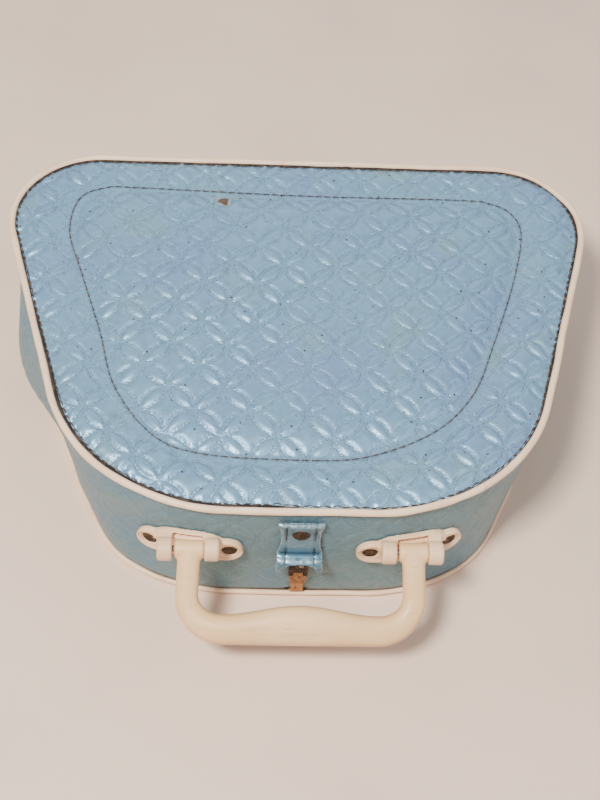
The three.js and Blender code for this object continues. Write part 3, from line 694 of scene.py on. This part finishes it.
LOOKS = {name: material(name, build, **fixed) for name, build, fixed in (
    ("top_vinyl", top_vinyl, dict(Metallic=0.42, Coat_Weight=0.1, Coat_Roughness=0.3)),
    ("side_vinyl", side_vinyl, dict(Specular_IOR_Level=0.45)),
    ("under_vinyl", under_vinyl, {}),
    ("tab_vinyl", tab_vinyl, dict(Metallic=0.35, Coat_Weight=0.5, Coat_Roughness=0.18)),
    ("piping", bead_vinyl, dict(Specular_IOR_Level=0.5)),
    ("grip", lambda n: ivory(n, linear(246, 204, 154), linear(240, 196, 142)), {}),
    ("bracket", lambda n: ivory(n, linear(244, 210, 172), linear(236, 196, 156)), {}),
    ("brass", lambda n: rusty(n, linear(104, 76, 48), linear(50, 34, 26), 0.9), {}),
    ("tongue", lambda n: rusty(n, linear(176, 128, 82), linear(120, 78, 52), 0.55), {}),
    ("rivet", lambda n: rusty(n, linear(96, 74, 48), linear(48, 34, 24), 0.8), {}),
    ("steel", lambda n: rusty(n, linear(150, 148, 142), linear(110, 84, 66), 0.15), {}),
    ("thread", thread, dict(Roughness=0.8)),
    ("gap", painted_groove_shadow, dict(Roughness=0.85)),
    ("board", board_material, dict(Roughness=0.85)),
    ("lining", lining_cloth, dict(Roughness=0.9, Sheen_Weight=0.25)),
)}


def finish_piece(obj, look, body, replaces=()):
    obj.data.materials.clear()
    obj.data.materials.append(LOOKS[look])
    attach(obj, body)
    if replaces:
        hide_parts(*replaces)


# Padded top


def edge_gap():
    """How far the top's cover stops short of the piping, by station: widest at the front left."""
    angle = np.arctan2(OUTLINE.rows[:, 1], OUTLINE.rows[:, 0])
    wide = smooth(radians(55), radians(10), np.abs(angle + radians(140)))
    return 0.55 + 0.9 * wide


def top_grid(columns, rows, inset):
    """Points of a four-sided patch that fills the outline at an inset."""
    ring = OUTLINE.at(-inset, 100)[:, :2]
    angle = OUTLINE.rows[:, 3]
    turned = (angle + pi / 2) % (2 * pi)

    def nearest(degrees):
        return int(np.argmin(np.abs(turned - radians(degrees))))

    corners = [nearest(45), nearest(130), nearest(230), nearest(315)]

    def side(a, b, count):
        index = np.arange(a, b + 1 if b > a else b + 1 + OUTLINE.count) % OUTLINE.count
        return resample(ring[index], count, closed=False)[0]

    right = side(corners[0], corners[1], rows)
    back = side(corners[1], corners[2], columns)[::-1]
    left = side(corners[2], corners[3], rows)[::-1]
    front = side(corners[3], corners[0], columns)
    u = np.linspace(0, 1, columns)[None, :, None]
    v = np.linspace(0, 1, rows)[:, None, None]
    patch = (1 - v) * front[None] + v * back[None] + (1 - u) * left[:, None] + u * right[:, None]
    near, far = (1 - u) * front[0] + u * front[-1], (1 - u) * back[0] + u * back[-1]
    return patch - ((1 - v) * near + v * far)


def cell_corners(rows, columns):
    """The index of each grid cell's first corner."""
    return [i * columns + j for i in range(rows - 1) for j in range(columns - 1)]


def grid_solid(name, top, bottom):
    """A closed slab from two grids of points of the same size."""
    rows, columns = top.shape[:2]
    verts = np.vstack([top.reshape(-1, 3), bottom.reshape(-1, 3)])
    half = rows * columns
    faces = []
    for a in cell_corners(rows, columns):
        faces.append((a, a + 1, a + columns + 1, a + columns))
        faces.append((half + a, half + a + columns, half + a + columns + 1, half + a + 1))
    rim = rim_of(rows, columns)
    for a, b in zip(rim, rim[1:] + rim[:1]):
        faces.append((a, half + a, half + b, b))
    return mesh_piece(name, verts, faces)


def rim_of(rows, columns):
    """Indices of a grid's outer points, in order."""
    rim = list(range(columns))
    rim += [i * columns + columns - 1 for i in range(1, rows)]
    rim += [(rows - 1) * columns + j for j in range(columns - 2, -1, -1)]
    return rim + [i * columns for i in range(rows - 2, 0, -1)]


def grid_block(name, top, floor):
    """A closed block with a grid of points on top and one flat face below."""
    rows, columns = top.shape[:2]
    verts = top.reshape(-1, 3)
    rim = rim_of(rows, columns)
    below = verts[rim].copy()
    below[:, 2] = floor
    half = rows * columns
    faces = [(a, a + 1, a + columns + 1, a + columns) for a in cell_corners(rows, columns)]
    for k in range(len(rim)):
        m = (k + 1) % len(rim)
        faces.append((rim[k], half + k, half + m, rim[m]))
    faces.append(tuple(half + k for k in range(len(rim)))[::-1])
    return mesh_piece(name, np.vstack([verts, below]), faces), rim


PAD_BOTTOM = 65.9
PAD_EDGE = 69.3
PAD_CAP = 3.2
PAD_UNDERSIDE = 68.25
PAD_LOWEST = 68.6
PAD_INSET = 1.45
THREAD_PITCH = 4.4


def swollen_heights(x, y):
    """The stuffed top's height over a grid of points: a pressure simulation held at its edge and seam."""
    inset = 2.6
    flat = top_grid(57, 43, inset)
    low = np.dstack([flat, np.full(flat.shape[:2], PAD_BOTTOM - 3)])
    high = np.dstack([flat, np.full(flat.shape[:2], PAD_EDGE)])
    pad = grid_solid("pad_form", high, low)
    soften(pad, 4.5, 0)
    applied(pad)
    rest = points_of(pad.data)
    near_seam = distance_to(SEAM, rest[:, 0], rest[:, 1]) < 3.2
    near_edge = distance_to(OUTLINE.at(-inset, 100)[:, :2], rest[:, 0], rest[:, 1]) < 3.5
    held = near_seam | near_edge | (rest[:, 2] < PAD_EDGE - 2)
    group = pad.vertex_groups.new(name="held")
    group.add([int(i) for i in np.nonzero(held)[0]], 1.0, "REPLACE")
    cloth = pad.modifiers.new("cloth", "CLOTH")
    cloth.settings.use_pressure = True
    cloth.settings.uniform_pressure_force = 4
    cloth.settings.effector_weights.gravity = 0
    cloth.settings.vertex_group_mass = "held"
    cloth.settings.tension_stiffness = 12
    cloth.settings.bending_stiffness = 1.2
    scene = bpy.context.scene
    for f in range(1, 21):
        scene.frame_set(f)
    graph = bpy.context.evaluated_depsgraph_get()
    blown = pad.evaluated_get(graph).to_mesh()
    swollen = points_of(blown)
    moved = swollen - rest
    size = np.linalg.norm(moved, axis=1)
    moved *= (PAD_CAP * np.tanh(size / PAD_CAP) / np.maximum(size, 1e-6))[:, None]
    pad.modifiers.clear()
    pad.data.vertices.foreach_set("co", ((rest + moved) * MM).astype(np.float32).ravel())
    pad.data.update()
    scene.frame_set(1)
    finer = pad.modifiers.new("finer", "SUBSURF")
    finer.levels = finer.render_levels = 1
    applied(pad)
    graph = bpy.context.evaluated_depsgraph_get()
    tree = BVHTree.FromObject(pad, graph)
    heights = np.full(x.shape, PAD_EDGE)
    flat_x, flat_y, flat_h = x.ravel(), y.ravel(), heights.ravel()
    down = Vector((0, 0, -1))
    for i in range(len(flat_x)):
        hit = tree.ray_cast(Vector((flat_x[i] * MM, flat_y[i] * MM, 0.12)), down)
        if hit[0] is not None:
            flat_h[i] = hit[0].z / MM
    bpy.data.objects.remove(pad)
    return flat_h.reshape(x.shape)


def blurred(grid, passes):
    for _ in range(passes):
        padded = np.pad(grid, 1, mode="edge")
        beside = padded[:-2, 1:-1] + padded[2:, 1:-1] + padded[1:-1, :-2] + padded[1:-1, 2:]
        grid = (beside + 4 * grid) / 8
    return grid


def padded_top():
    columns, rows = 336, 258
    flat = top_grid(columns, rows, PAD_INSET + edge_gap())
    x, y = flat[..., 0], flat[..., 1]
    ring = OUTLINE.at(-PAD_INSET - edge_gap(), 100)[:, :2]
    # simulate on every third point, then fill in smoothly
    heights = swollen_heights(x[::3, ::3], y[::3, ::3])
    heights = blurred(heights, 5)
    r, c = np.linspace(0, heights.shape[0] - 1, rows), np.linspace(0, heights.shape[1] - 1, columns)
    wide = np.stack([np.interp(c, np.arange(heights.shape[1]), row) for row in heights])
    heights = np.stack([np.interp(r, np.arange(heights.shape[0]), wide[:, j]) for j in range(columns)], 1)
    heights = blurred(heights, 6)
    to_seam = distance_to(SEAM, x, y)
    to_edge = distance_to(ring, x, y)
    front_weight = smooth(-30, -90, y)
    within = inside(SEAM, x, y)
    relief = emboss(x, y) * smooth(0.5, 3.5, to_seam) * smooth(0.5, 3.2, to_edge)
    faded = 0.9 + 0.3 * waves(x, y, 5, 90)
    heights = heights + relief * np.clip(faded, 0.6, 1.2)
    heights = heights + 1.1 * smooth(0, 16, to_seam)
    heights = heights - 3.1 * np.exp(-to_seam / np.where(within, 3.0, 5.0))
    heights = heights + 0.9 * front_weight * (1 - smooth(0, 45, to_edge))
    # small gathers along the seam and a slack wave inside the edge
    heights = heights + 0.16 * waves(x, y, 9, 13) * bell(to_seam, 5)
    heights = heights + 0.3 * waves(x, y, 12, 70)
    heights = np.maximum(heights - 1.9 * np.exp(-to_edge / 2.2), PAD_LOWEST)
    top = np.dstack([flat, heights])
    piece, rim = grid_block("top_pad", top, PAD_UNDERSIDE)
    order = np.concatenate([np.arange(rows * columns), rim])
    both = flat.reshape(-1, 2)[order]
    put_attribute(piece, "pat", np.column_stack([both * MM, np.zeros(len(both))]))
    # painted shade mask: along the seam and along the cover's edge by the piping
    crease = np.maximum(bell(to_seam, 0.6), 0.9 * bell(to_edge, 0.6)).ravel()
    put_attribute(piece, "crease", crease[order])
    finish_piece(piece, "top_vinyl", "shell", ("top_cover", "top_foam"))
    upper = [tuple(p.vertices) for p in piece.data.polygons if max(p.vertices) < rows * columns]
    return BVHTree.FromPolygons([Vector(v) for v in top.reshape(-1, 3)], upper)


def on_top(tree, points):
    out = []
    for px, py in points:
        hit = tree.ray_cast(Vector((px, py, 120)), Vector((0, 0, -1)))
        out.append((px, py, hit[0].z if hit[0] is not None else PAD_EDGE))
    return np.array(out)


def top_stitching(tree):
    up = np.array([0.0, 0.0, 1.0])
    seam = on_top(tree, SEAM)
    row = stitches("seam_stitches", seam, up, THREAD_PITCH, 3.7, 0.27, sink=-0.1, seed=3)
    finish_piece(row, "thread", "shell")
    inset = PAD_INSET + edge_gap() + 0.6
    edge = on_top(tree, resample(OUTLINE.at(-inset, 100)[:, :2], 900)[0])
    row = stitches("edge_stitches", edge, up, THREAD_PITCH, 3.9, 0.34, sink=-0.1, seed=4)
    finish_piece(row, "thread", "shell")
    # painted shadow: a dark tube laid in the groove between the cover and the piping
    ring = OUTLINE.at(-1.3 - 0.5 * edge_gap(), 69.1)
    ring[:, 2] = 68.75 + FRONT_LIFT * OUTLINE.frontness()
    groove = tube("edge_groove_shadow", ring, 0.45 + 0.5 * edge_gap(), sides=8)
    finish_piece(groove, "gap", "shell")


def along_edge(seed, size):
    """Waviness along the case's outline."""
    return waves(OUTLINE.arc, 0 * OUTLINE.arc, seed, size)


def pipings():
    angle = OUTLINE.rows[:, 3]
    wobble = along_edge(21, 60)
    rear_right = smooth(0.3, 1.0, np.cos(angle - radians(35)))
    side = 0.22 * wobble + 0.75 * rear_right * along_edge(24, 42)
    lift = 0.18 * along_edge(22, 45) + FRONT_LIFT * OUTLINE.frontness()
    ring = OUTLINE.at(side * 0.6, TOP_BEAD_Z)
    ring[:, 2] += lift
    notch = bell(ring[:, 0] - 25.1, 1.1) * (ring[:, 1] > 90)
    radius = BEAD * (1 + 0.05 * along_edge(23, 18)) * (1 - 0.42 * notch)
    bead = tube("top_bead", ring, radius, sides=14)
    finish_piece(bead, "piping", "shell", ("top_piping",))
    lip = OUTLINE.at(-0.55, TOP_BEAD_Z - BEAD)
    lip[:, 2] += lift
    flange = tube("top_bead_flange", lip, 0.55, sides=6)
    finish_piece(flange, "piping", "shell")
    ring = OUTLINE.at(0.1 + 0.25 * along_edge(31, 50), BASE_BEAD_Z)
    radius = BEAD * (0.74 + 0.05 * along_edge(32, 20))
    bead = tube("base_bead", ring, radius, sides=14)
    finish_piece(bead, "piping", "base", ("base_piping",))


# Cut-out for the catch in the wall's lower edge, and where the pattern starts along the wall
NOTCH_HALF = 4.4
NOTCH_TOP = 6.2
PATTERN_START = 14


def wall():
    rows = 46
    low_z, high_z = WALL_BOTTOM, COVER_TOP
    heights = np.linspace(low_z, high_z, rows)
    arc = OUTLINE.arc
    front = (np.abs(OUTLINE.rows[:, 0]) < FRONT_FLAT + 1) & (OUTLINE.rows[:, 3] == -pi / 2)
    front &= OUTLINE.rows[:, 1] < 0
    outer, inner, pats, creases = [], [], [], []
    for z in heights:
        relief = 0.2 * (emboss(arc + PATTERN_START, 0 * arc + z) - 0.2)
        slack = 0.35 * waves(arc, 0 * arc + 1.6 * z, 41, 60) * sin(pi * (z - low_z) / (high_z - low_z))
        tucked = -0.35 * float(smooth(3, 0, z - low_z)) - 0.5 * float(smooth(2.5, 0, high_z - z))
        slack = slack * np.where(front, 0.3, 1.0)
        points = OUTLINE.at(np.clip(relief + slack + tucked, -0.2, 0.5) - 0.1, z)
        points[:, 2] += FRONT_LIFT * OUTLINE.frontness() * smooth(high_z - 20, high_z, z)
        notch = (np.abs(points[:, 0]) < NOTCH_HALF) & (points[:, 1] < 0) & (z < NOTCH_TOP)
        points[notch, 2] = NOTCH_TOP
        outer.append(points)
        inside_points = OUTLINE.at(-0.75, z)
        inside_points[notch, 2] = NOTCH_TOP
        inner.append(inside_points)
        pats.append(np.stack([(arc + PATTERN_START) * MM, np.full(len(arc), z * MM), np.zeros(len(arc))], 1))
        # painted shade mask: a band at the foot of the wall and a fainter one under the top piping
        dark = 0.9 * bell(z - low_z, 0.9) + 0.35 * bell(high_z - z, 1.5)
        creases.append(np.full(len(arc), dark))
    verts = np.vstack(outer + inner[::-1])
    faces = ring_faces(2 * rows, OUTLINE.count, True)
    piece = mesh_piece("wall_skin", verts, faces)
    piece.data.flip_normals()
    put_attribute(piece, "pat", np.vstack(pats + pats[::-1]))
    put_attribute(piece, "crease", np.concatenate(creases + creases[::-1]))
    finish_piece(piece, "side_vinyl", "shell", ("wall_cover",))


# Handle


def handle():
    droop = radians(38)
    arm_width, arm_thick, splay = 9.9, 8.4, 0.8
    reach, middle_deep, end_deep, thick, corner = 40.5, 16.8, 12.6, 12, 15
    grip_end = BRACKET_X + splay - corner
    end_y, middle_y = -reach + end_deep / 2, -reach + middle_deep / 2
    stations = []
    for v in np.linspace(0, 1, 40)[:-1]:
        swell = 0.5 + 0.5 * cos(pi * v)
        deep = end_deep + (middle_deep - end_deep) * swell
        stations.append((grip_end * v, end_y + (middle_y - end_y) * swell, 0, deep, thick))
    for v in np.linspace(0, 1, 26)[:-1]:
        a = pi / 2 * v
        s = float(smooth(0, 1, v))
        stations.append((grip_end + corner * sin(a), end_y + corner * (1 - cos(a)), a,
                         end_deep + (arm_width - end_deep) * s, thick + (arm_thick - thick) * s))
    for v in np.linspace(0, 1, 20):
        y = (end_y + corner) * (1 - v) - 1.0 * v
        stations.append((BRACKET_X + splay * (1 - v), y, pi / 2, arm_width, arm_thick))
    half = np.array(stations)
    left = half[1:][::-1].copy()
    left[:, 0] *= -1
    left[:, 2] *= -1
    path = np.vstack([left, half])
    turn = Matrix.Rotation(droop, 3, "X")
    axis = Vector((0.5, HANDLE_AXIS_Y, HANDLE_AXIS_Z))

    def place(p):
        return turn @ Vector(p) + axis

    sides = 28
    verts = []
    for x, y, a, wide, deep in path:
        for ct, st in circle(sides):
            across = wide / 2 * copysign(abs(ct) ** 0.86, ct)
            up = deep / 2 * copysign(abs(st) ** 0.86, st)
            verts.append(place((x - across * sin(a), y + across * cos(a), up)))
    parts = [mesh_piece("grip_body", verts, capped_faces(len(path), sides))]
    for side in (-1, 1):
        ring = []
        xs = (-6.4, -6.1, -5.6, 5.6, 6.1, 6.4)
        radii = (3.2, 3.8, 4.15, 4.15, 3.8, 3.2)
        for dx, radius in zip(xs, radii):
            ring += [place((side * BRACKET_X + dx, radius * c, radius * s)) for c, s in circle(32)]
        parts.append(mesh_piece("barrel", ring, capped_faces(len(xs), 32)))
    body = join("handle_moulding", parts)
    applied(soften(body, 0.55, 5))
    shade_smooth(body.data)
    finish_piece(body, "grip", "handle", ("handle",))
    # the mould's parting ridge along the outer edge; its paler bracket ivory is a painted highlight along
    # that edge
    ridge = []
    for x, y, a, wide, _ in path[22:-22]:
        out = -wide / 2 - 0.05
        ridge.append(place((x + out * -sin(a), y + out * cos(a), 0.4)))
    line = tube("handle_ridge", ridge, 0.42, sides=8, closed=False, flat=(0, -0.616, 0.788))
    finish_piece(line, "bracket", "handle")


# Brackets


def on_front(along, out, z):
    """A point in front of the bent front wall, from the distance along it."""
    past = max(0.0, abs(along) - FRONT_FLAT) / FRONT_RADIUS
    x = min(abs(along), FRONT_FLAT) + (FRONT_RADIUS + out) * sin(past)
    return copysign(x, along), FRONT_Y + FRONT_RADIUS - (FRONT_RADIUS + out) * cos(past), z


BRACKET_ALONG = FRONT_FLAT + FRONT_RADIUS * asin((BRACKET_X - FRONT_FLAT) / FRONT_RADIUS)
BRACKET_Z = 41.8
RIVET_SPACING = 17.7
TILT = {-1: 0.14, 1: 0.03}


def bracket(side, name):
    def sag(offset):
        """Each bracket's outer end hangs a little."""
        return -TILT[side] * max(0.0, side * offset + 4)

    def loft(offsets, section):
        middle = side * BRACKET_ALONG
        verts = [on_front(middle + o, out, z + sag(o)) for o in offsets for out, z in section(o)]
        return mesh_piece("part", verts, capped_faces(len(offsets), len(verts) // len(offsets)))

    length, height = 23.8, 7.6

    def plate(o):
        past = max(0.0, abs(o) - (length - height))
        h = max(0.6, sqrt(max(0.0, height**2 - past**2)))
        half = [(0.3, h), (2.3, h), (3.1, h - 0.5), (3.4, h - 1.2), (3.2, h - 2.0), (2.6, h - 2.8)]
        half = [(out, max(z, 0.12 * h)) for out, z in half]
        return [(out, BRACKET_Z - z) for out, z in half] + [(out, BRACKET_Z + z) for out, z in half[::-1]]

    def bar(o):
        top = 53.2 - 3.6 * (abs(o) / 14.8) ** 4
        if abs(o) < 6.9:
            front = [(2.6, top - 0.1), (3.1, 52.8), (2.1, 51.8), (1.3, 50.6), (0.9, 49.4), (0.9, 44)]
        else:
            front = [(2.8, top - 0.2), (4.0, top - 0.9), (4.4, top - 2.2), (4.4, 47.4), (4.1, 46),
                     (3.2, 44.6)]
        return [(0.3, top), *front, (0.3, 44)]

    arc = np.linspace(0, pi, 40)
    parts = [loft(-length * np.cos(arc), plate)]
    steps = [3.4, 6.89, 6.91, 9.5, 12, 14.2, 14.8]
    parts.append(loft([-o for o in steps[::-1]] + [0] + steps, bar))
    for end in (-1, 1):
        inner, outer = 6.9, 13.4
        middle = (inner + outer) / 2
        base_y = on_front(side * BRACKET_ALONG + end * middle, 1.5, 0)[1]
        ear = []
        for dx, grow in ((inner, 0.9), (inner + 0.5, 1), (outer - 0.8, 1), (outer, 0.86)):
            for ca, sa in circle(28):
                y = HANDLE_AXIS_Y - 5 * grow * copysign(abs(ca) ** 0.94, ca)
                z = HANDLE_AXIS_Z + 5 * grow * copysign(abs(sa) ** 0.94, sa) - 0.2
                ear.append((side * BRACKET_X + end * dx, y, z))
        parts.append(mesh_piece("part", ear, capped_faces(4, 28)))
        x0, x1 = sorted((side * BRACKET_X + end * (inner + 0.2), side * BRACKET_X + end * (outer - 0.3)))
        corners = [(x, y, z) for x in (x0, x1) for y, z in
                   ((HANDLE_AXIS_Y, 45.6), (base_y, 44.6), (base_y, 50.8), (HANDLE_AXIS_Y, 51.6))]
        faces = [(0, 1, 2, 3), (7, 6, 5, 4), (0, 4, 5, 1), (1, 5, 6, 2), (2, 6, 7, 3), (3, 7, 4, 0)]
        parts.append(mesh_piece("part", corners, faces))
    body = join(f"handle_{name}", parts)
    applied(soften(body, 0.42, 4))
    mesh = body.data
    co = points_of(mesh)
    for end in (-1, 1):
        along = side * BRACKET_ALONG + end * RIVET_SPACING
        past = side * (abs(along) - FRONT_FLAT) / FRONT_RADIUS if abs(along) > FRONT_FLAT else 0.0
        normal = np.array([sin(past), -cos(past), 0])
        centre = np.array(on_front(along, 0, BRACKET_Z + sag(end * RIVET_SPACING)))
        rel = co - centre
        depth = rel @ normal
        radial = np.linalg.norm(rel - depth[:, None] * normal, axis=1)
        floor = 1.7 + 1.6 * smooth(3.55, 4.0, radial)
        push = np.where((radial < 4.0) & (depth > floor), floor - depth, 0)
        co += push[:, None] * normal
    mesh.vertices.foreach_set("co", (co * MM).astype(np.float32).ravel())
    mesh.update()
    shade_smooth(mesh)
    finish_piece(body, "bracket", "shell", (name,))
    for end, end_name in ((1, "outer"), (-1, "inner")):
        offset = side * end * RIVET_SPACING
        stud(f"{name}_stud_{end_name}", side * BRACKET_ALONG + offset, BRACKET_Z + sag(offset), 3.4, 1.5,
             f"bracket_rivet_{'left' if side < 0 else 'right'}_{end_name}")


def stud(name, along, z, radius, out, node, look="rivet", body="shell"):
    """A low domed rivet head, its edge rolled and its face slightly dished."""
    past = copysign(max(0.0, abs(along) - FRONT_FLAT) / FRONT_RADIUS, along)
    normal = np.array([sin(past), -cos(past), 0])
    side = np.array([cos(past), sin(past), 0])
    up = np.array([0.0, 0.0, 1.0])
    centre = np.array(on_front(along, 0, z))
    neck = min(1.4, radius * 0.6)
    rings = ((out - 1.5, neck), (out - 0.1, neck), (out, radius * 0.96), (out + 0.35, radius),
             (out + 0.75, radius * 0.9), (out + 0.85, radius * 0.72), (out + 0.7, radius * 0.5),
             (out + 0.62, radius * 0.2))
    verts = []
    for depth, r in rings:
        verts += [centre + normal * depth + r * (c * side + s * up) for c, s in circle(32)]
    piece = mesh_piece(name, verts, capped_faces(len(rings), 32))
    finish_piece(piece, look, body, (node,) if node else ())


# Tab


def tab():
    thick = 1.8
    half = 9.8
    seam_x = 6.3
    # centre line of the strap's outer face from the rolled top down to the lip: (out from the wall, z)
    profile = spline(
        [(0.45, 62.2), (1.4, 63.1), (2.6, 62.3), (2.5, 59.6), (2.0, 56), (2.0, 51), (2.3, 46),
         (2.15, 42.5), (1.9, 40.3), (2.7, 38.9), (4.9, 38.2), (6.3, 36.8),
         (6.75, 34.2), (6.5, 31.2)], 9, closed=False)
    profile, _ = resample(profile, 84, closed=False)
    columns = 57
    us = np.linspace(-1, 1, columns)
    outer, inner, pats, creases, painted_highlight = [], [], [], [], []
    length = np.concatenate([[0], np.cumsum(np.linalg.norm(np.diff(profile, axis=0), axis=1))])
    for i, (out, z) in enumerate(profile):
        waist = 0.15 * sin(pi * np.clip((63 - z) / 23, 0, 1)) ** 0.8
        narrow = 1.02 - waist + 0.03 * float(smooth(38, 34, z))
        share = float(smooth(38.4, 31.2, z))
        for u in us:
            x = half * narrow * u
            edge = float(smooth(0.78, 1.0, abs(u)))
            valley = -0.28 * bell(abs(x) - seam_x, 0.7) * float(smooth(64, 62, z))
            puff = 0.22 * cos(pi * u / 2)
            crease = bell(z - 40.0, 0.6)
            o = out + valley + puff - 0.5 * edge - 0.25 * crease
            arch = max(0.0, 1 - (x / 7.6) ** 2) ** 0.5 * 5.6
            lift = arch * share
            o = o - 0.9 * share * (arch / 5.6)
            zz = z + lift
            outer.append((x, FRONT_Y - o, zz))
            back = max(0.35, o - thick * (1 - 0.6 * edge))
            inner.append((x * 0.99, FRONT_Y - back, zz - (0.5 if i < 12 else 0.0)))
            pats.append((x * MM, length[i] * MM, 0))
            # painted shade mask: the sewn lines, added to the lip's fold
            sewn = 0.35 * bell(abs(x) - seam_x, 0.5)
            creases.append(0.95 * crease * float(smooth(0.97, 0.8, abs(u))) + sewn)
            # painted highlight mask: the rolled top, the lip's fold and the side edges
            rolls = bell(z - 62.9, 0.7), 0.95 * bell(z - 38, 0.6)
            painted_highlight.append(max(float(smooth(0.9, 1, abs(u))), *rolls))
    rows = len(profile)
    outer, inner = np.array(outer).reshape(rows, columns, 3), np.array(inner).reshape(rows, columns, 3)
    piece = grid_solid("tab", outer[::-1], inner[::-1])
    flip = np.arange(rows * columns).reshape(rows, columns)[::-1].ravel()
    order = np.concatenate([flip, flip])
    put_attribute(piece, "pat", np.array(pats)[order])
    put_attribute(piece, "crease", np.array(creases)[order])
    put_attribute(piece, "painted_highlight", np.array(painted_highlight)[order])
    piece.data.materials.append(LOOKS["tab_vinyl"])
    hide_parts("tab_strap", "tab_flap")
    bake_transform(piece)
    for side, name in ((-1, "left"), (1, "right")):
        for low, high, body, part in ((50.2, 61.8, "shell", "upper"), (37.2, 44.6, "tab", "lower")):
            points = [(side * seam_x, FRONT_Y - o - 0.05, z) for o, z in profile if low < z < high]
            row = stitches(f"tab_stitches_{name}_{part}", np.array(points), np.array([0.0, -1.0, 0.0]),
                           3.1, 2.4, 0.28, closed=False, sink=0.0, seed=6)
            finish_piece(row, "thread", body)


def hinge_tape():
    """One cloth strip bent along the rear edge: the lower leg lies on the base, the upper is on the wall."""
    half = 92
    back = REAR_Y - 4.4 - 0.55
    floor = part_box("hinge_tape_base")[0].z / MM + 0.25
    leg = 14
    profile = [(back - leg + t * (leg - 2), floor) for t in np.linspace(0, 1, 12)]
    profile += [(back - 2 + 2 * sin(a), floor + 2 - 2 * cos(a)) for a in np.linspace(0, pi / 2, 9)[1:]]
    profile += [(back, floor + 2 + t * (leg - 1.5)) for t in np.linspace(0, 1, 12)[1:]]
    columns = 80
    up, down = [], []
    for i, (y, z) in enumerate(profile):
        a = np.array(profile[min(i + 1, len(profile) - 1)]) - np.array(profile[max(i - 1, 0)])
        a /= np.linalg.norm(a)
        for u in np.linspace(-1, 1, columns):
            x = half * u
            up.append((x, y - a[1] * 0.2, z + a[0] * 0.2))
            down.append((x, y + a[1] * 0.2, z - a[0] * 0.2))
    shape = (len(profile), columns, 3)
    piece = grid_solid("hinge_tape", np.array(up).reshape(shape), np.array(down).reshape(shape))
    piece.data.materials.append(LOOKS["lining"])
    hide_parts("hinge_tape_base", "hinge_tape_shell")
    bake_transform(piece)


def cad_looks():
    """Carried-over nodes: a fitting finish, and rounded edges where a moulding or casting has them."""
    rounded = {"lock_body": ("brass", 0.22, 3), "lock_tongue": ("tongue", 0.2, 3),
               "base_catch": ("tongue", 0.25, 1)}
    corners = [f"bracket_washer_{side}_{end}" for side in ("left", "right") for end in ("outer", "inner")]
    plain = {
        "brass": ["catch_rivet", "tongue_pin"],
        "steel": ["tab_washer", "handle_pin_left", "handle_pin_right", *corners],
        "under_vinyl": ["base_cover"],
        "board": ["base_board", "wall_board", "top_board"],
        "lining": ["base_rim", "base_lining", "wall_lining", "top_lining"],
    }
    looks = {name: look for name, (look, _, _) in rounded.items()}
    looks.update({name: look for look, names in plain.items() for name in names})
    for name, look in looks.items():
        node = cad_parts[name]
        node.data.materials.clear()
        node.data.materials.append(LOOKS[look])
    for name, (_, voxel, passes) in rounded.items():
        soften(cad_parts[name], voxel, passes)


def stage_and_lights():
    scene = bpy.context.scene
    mesh = bpy.data.meshes.new("floor")
    mesh.from_pydata([(-3, -3, 0), (3, -3, 0), (3, 3, 0), (-3, 3, 0)], [], [(0, 1, 2, 3)])
    floor = new_object("floor", mesh)

    def pale(n):
        place = n.place()
        colour = n.mix(n.patches(place, 9, 3, 0.4, 0.7), linear(238, 211, 190), linear(230, 204, 184))
        return sockets(colour, n.bump(n.noise(place, 300, 3), 0.05, 0.3))

    mesh.materials.append(material("floor", pale, Roughness=0.55))
    floor.location.z = min(0.0, CAD_LOW.z) - 0.0001

    def area(name, at, aim, size, power, tint):
        light = bpy.data.lights.new(name, "AREA")
        light.shape = "RECTANGLE"
        light.size, light.size_y = size
        light.energy = power
        light.color = tint
        obj = new_object(name, light)
        obj.location = at
        obj.rotation_euler = (Vector(aim) - Vector(at)).to_track_quat("-Z", "Y").to_euler()

    area("key", (-0.4, -0.5, 1.15), (0, 0, 0.03), (0.26, 0.22), 25, (1.0, 0.96, 0.9))
    area("fill", (0.95, -0.35, 0.85), (0, 0, 0.03), (1.0, 0.8), 4.5, (0.98, 0.98, 1.0))
    area("rear", (0.1, 1.3, 0.8), (0, 0, 0.05), (1.4, 0.6), 4, (1.0, 0.98, 0.97))
    world = bpy.data.worlds.new("studio")
    scene.world = world
    world.use_nodes = True
    world.node_tree.nodes["Background"].inputs[0].default_value = (0.95, 0.97, 1.0, 1)
    world.node_tree.nodes["Background"].inputs[1].default_value = 0.42


def camera():
    """A hand-held view from above the front, about 53 degrees down."""
    pitch, roll, yaw = radians(52.98), radians(4.64), radians(-4.27)
    data = bpy.data.cameras.new("view")
    data.sensor_width = 36
    data.lens = 60.75
    data.clip_start, data.clip_end = 0.02, 20
    cam = new_object("view", data)
    right, up = Vector((1, 0, 0)), Vector((0, sin(pitch), cos(pitch)))
    forward = Vector((0, cos(pitch), -sin(pitch)))
    r2 = cos(roll) * right + sin(roll) * up
    u2 = -sin(roll) * right + cos(roll) * up
    turn = Matrix.Rotation(yaw, 3, "Z")
    r2, u2, f2 = turn @ r2, turn @ u2, turn @ forward
    basis = Matrix((r2, u2, -f2)).transposed().to_4x4()
    cam.matrix_world = Matrix.Translation((-0.02775, -0.40941, 0.55224)) @ basis
    bpy.context.scene.camera = cam


surface = padded_top()
bracket(-1, "bracket_left")
bracket(1, "bracket_right")
stud("tab_stud", 0, 55.8, 3.9, 1.95, "tab_rivet")
stud("lock_button", 1.1, 33.6, 1.2, 4.25, "", "steel", "tab")
top_stitching(surface)
pipings()
wall()
handle()
tab()
hinge_tape()
cad_looks()
stage_and_lights()
camera()
bpy.context.view_layer.update()
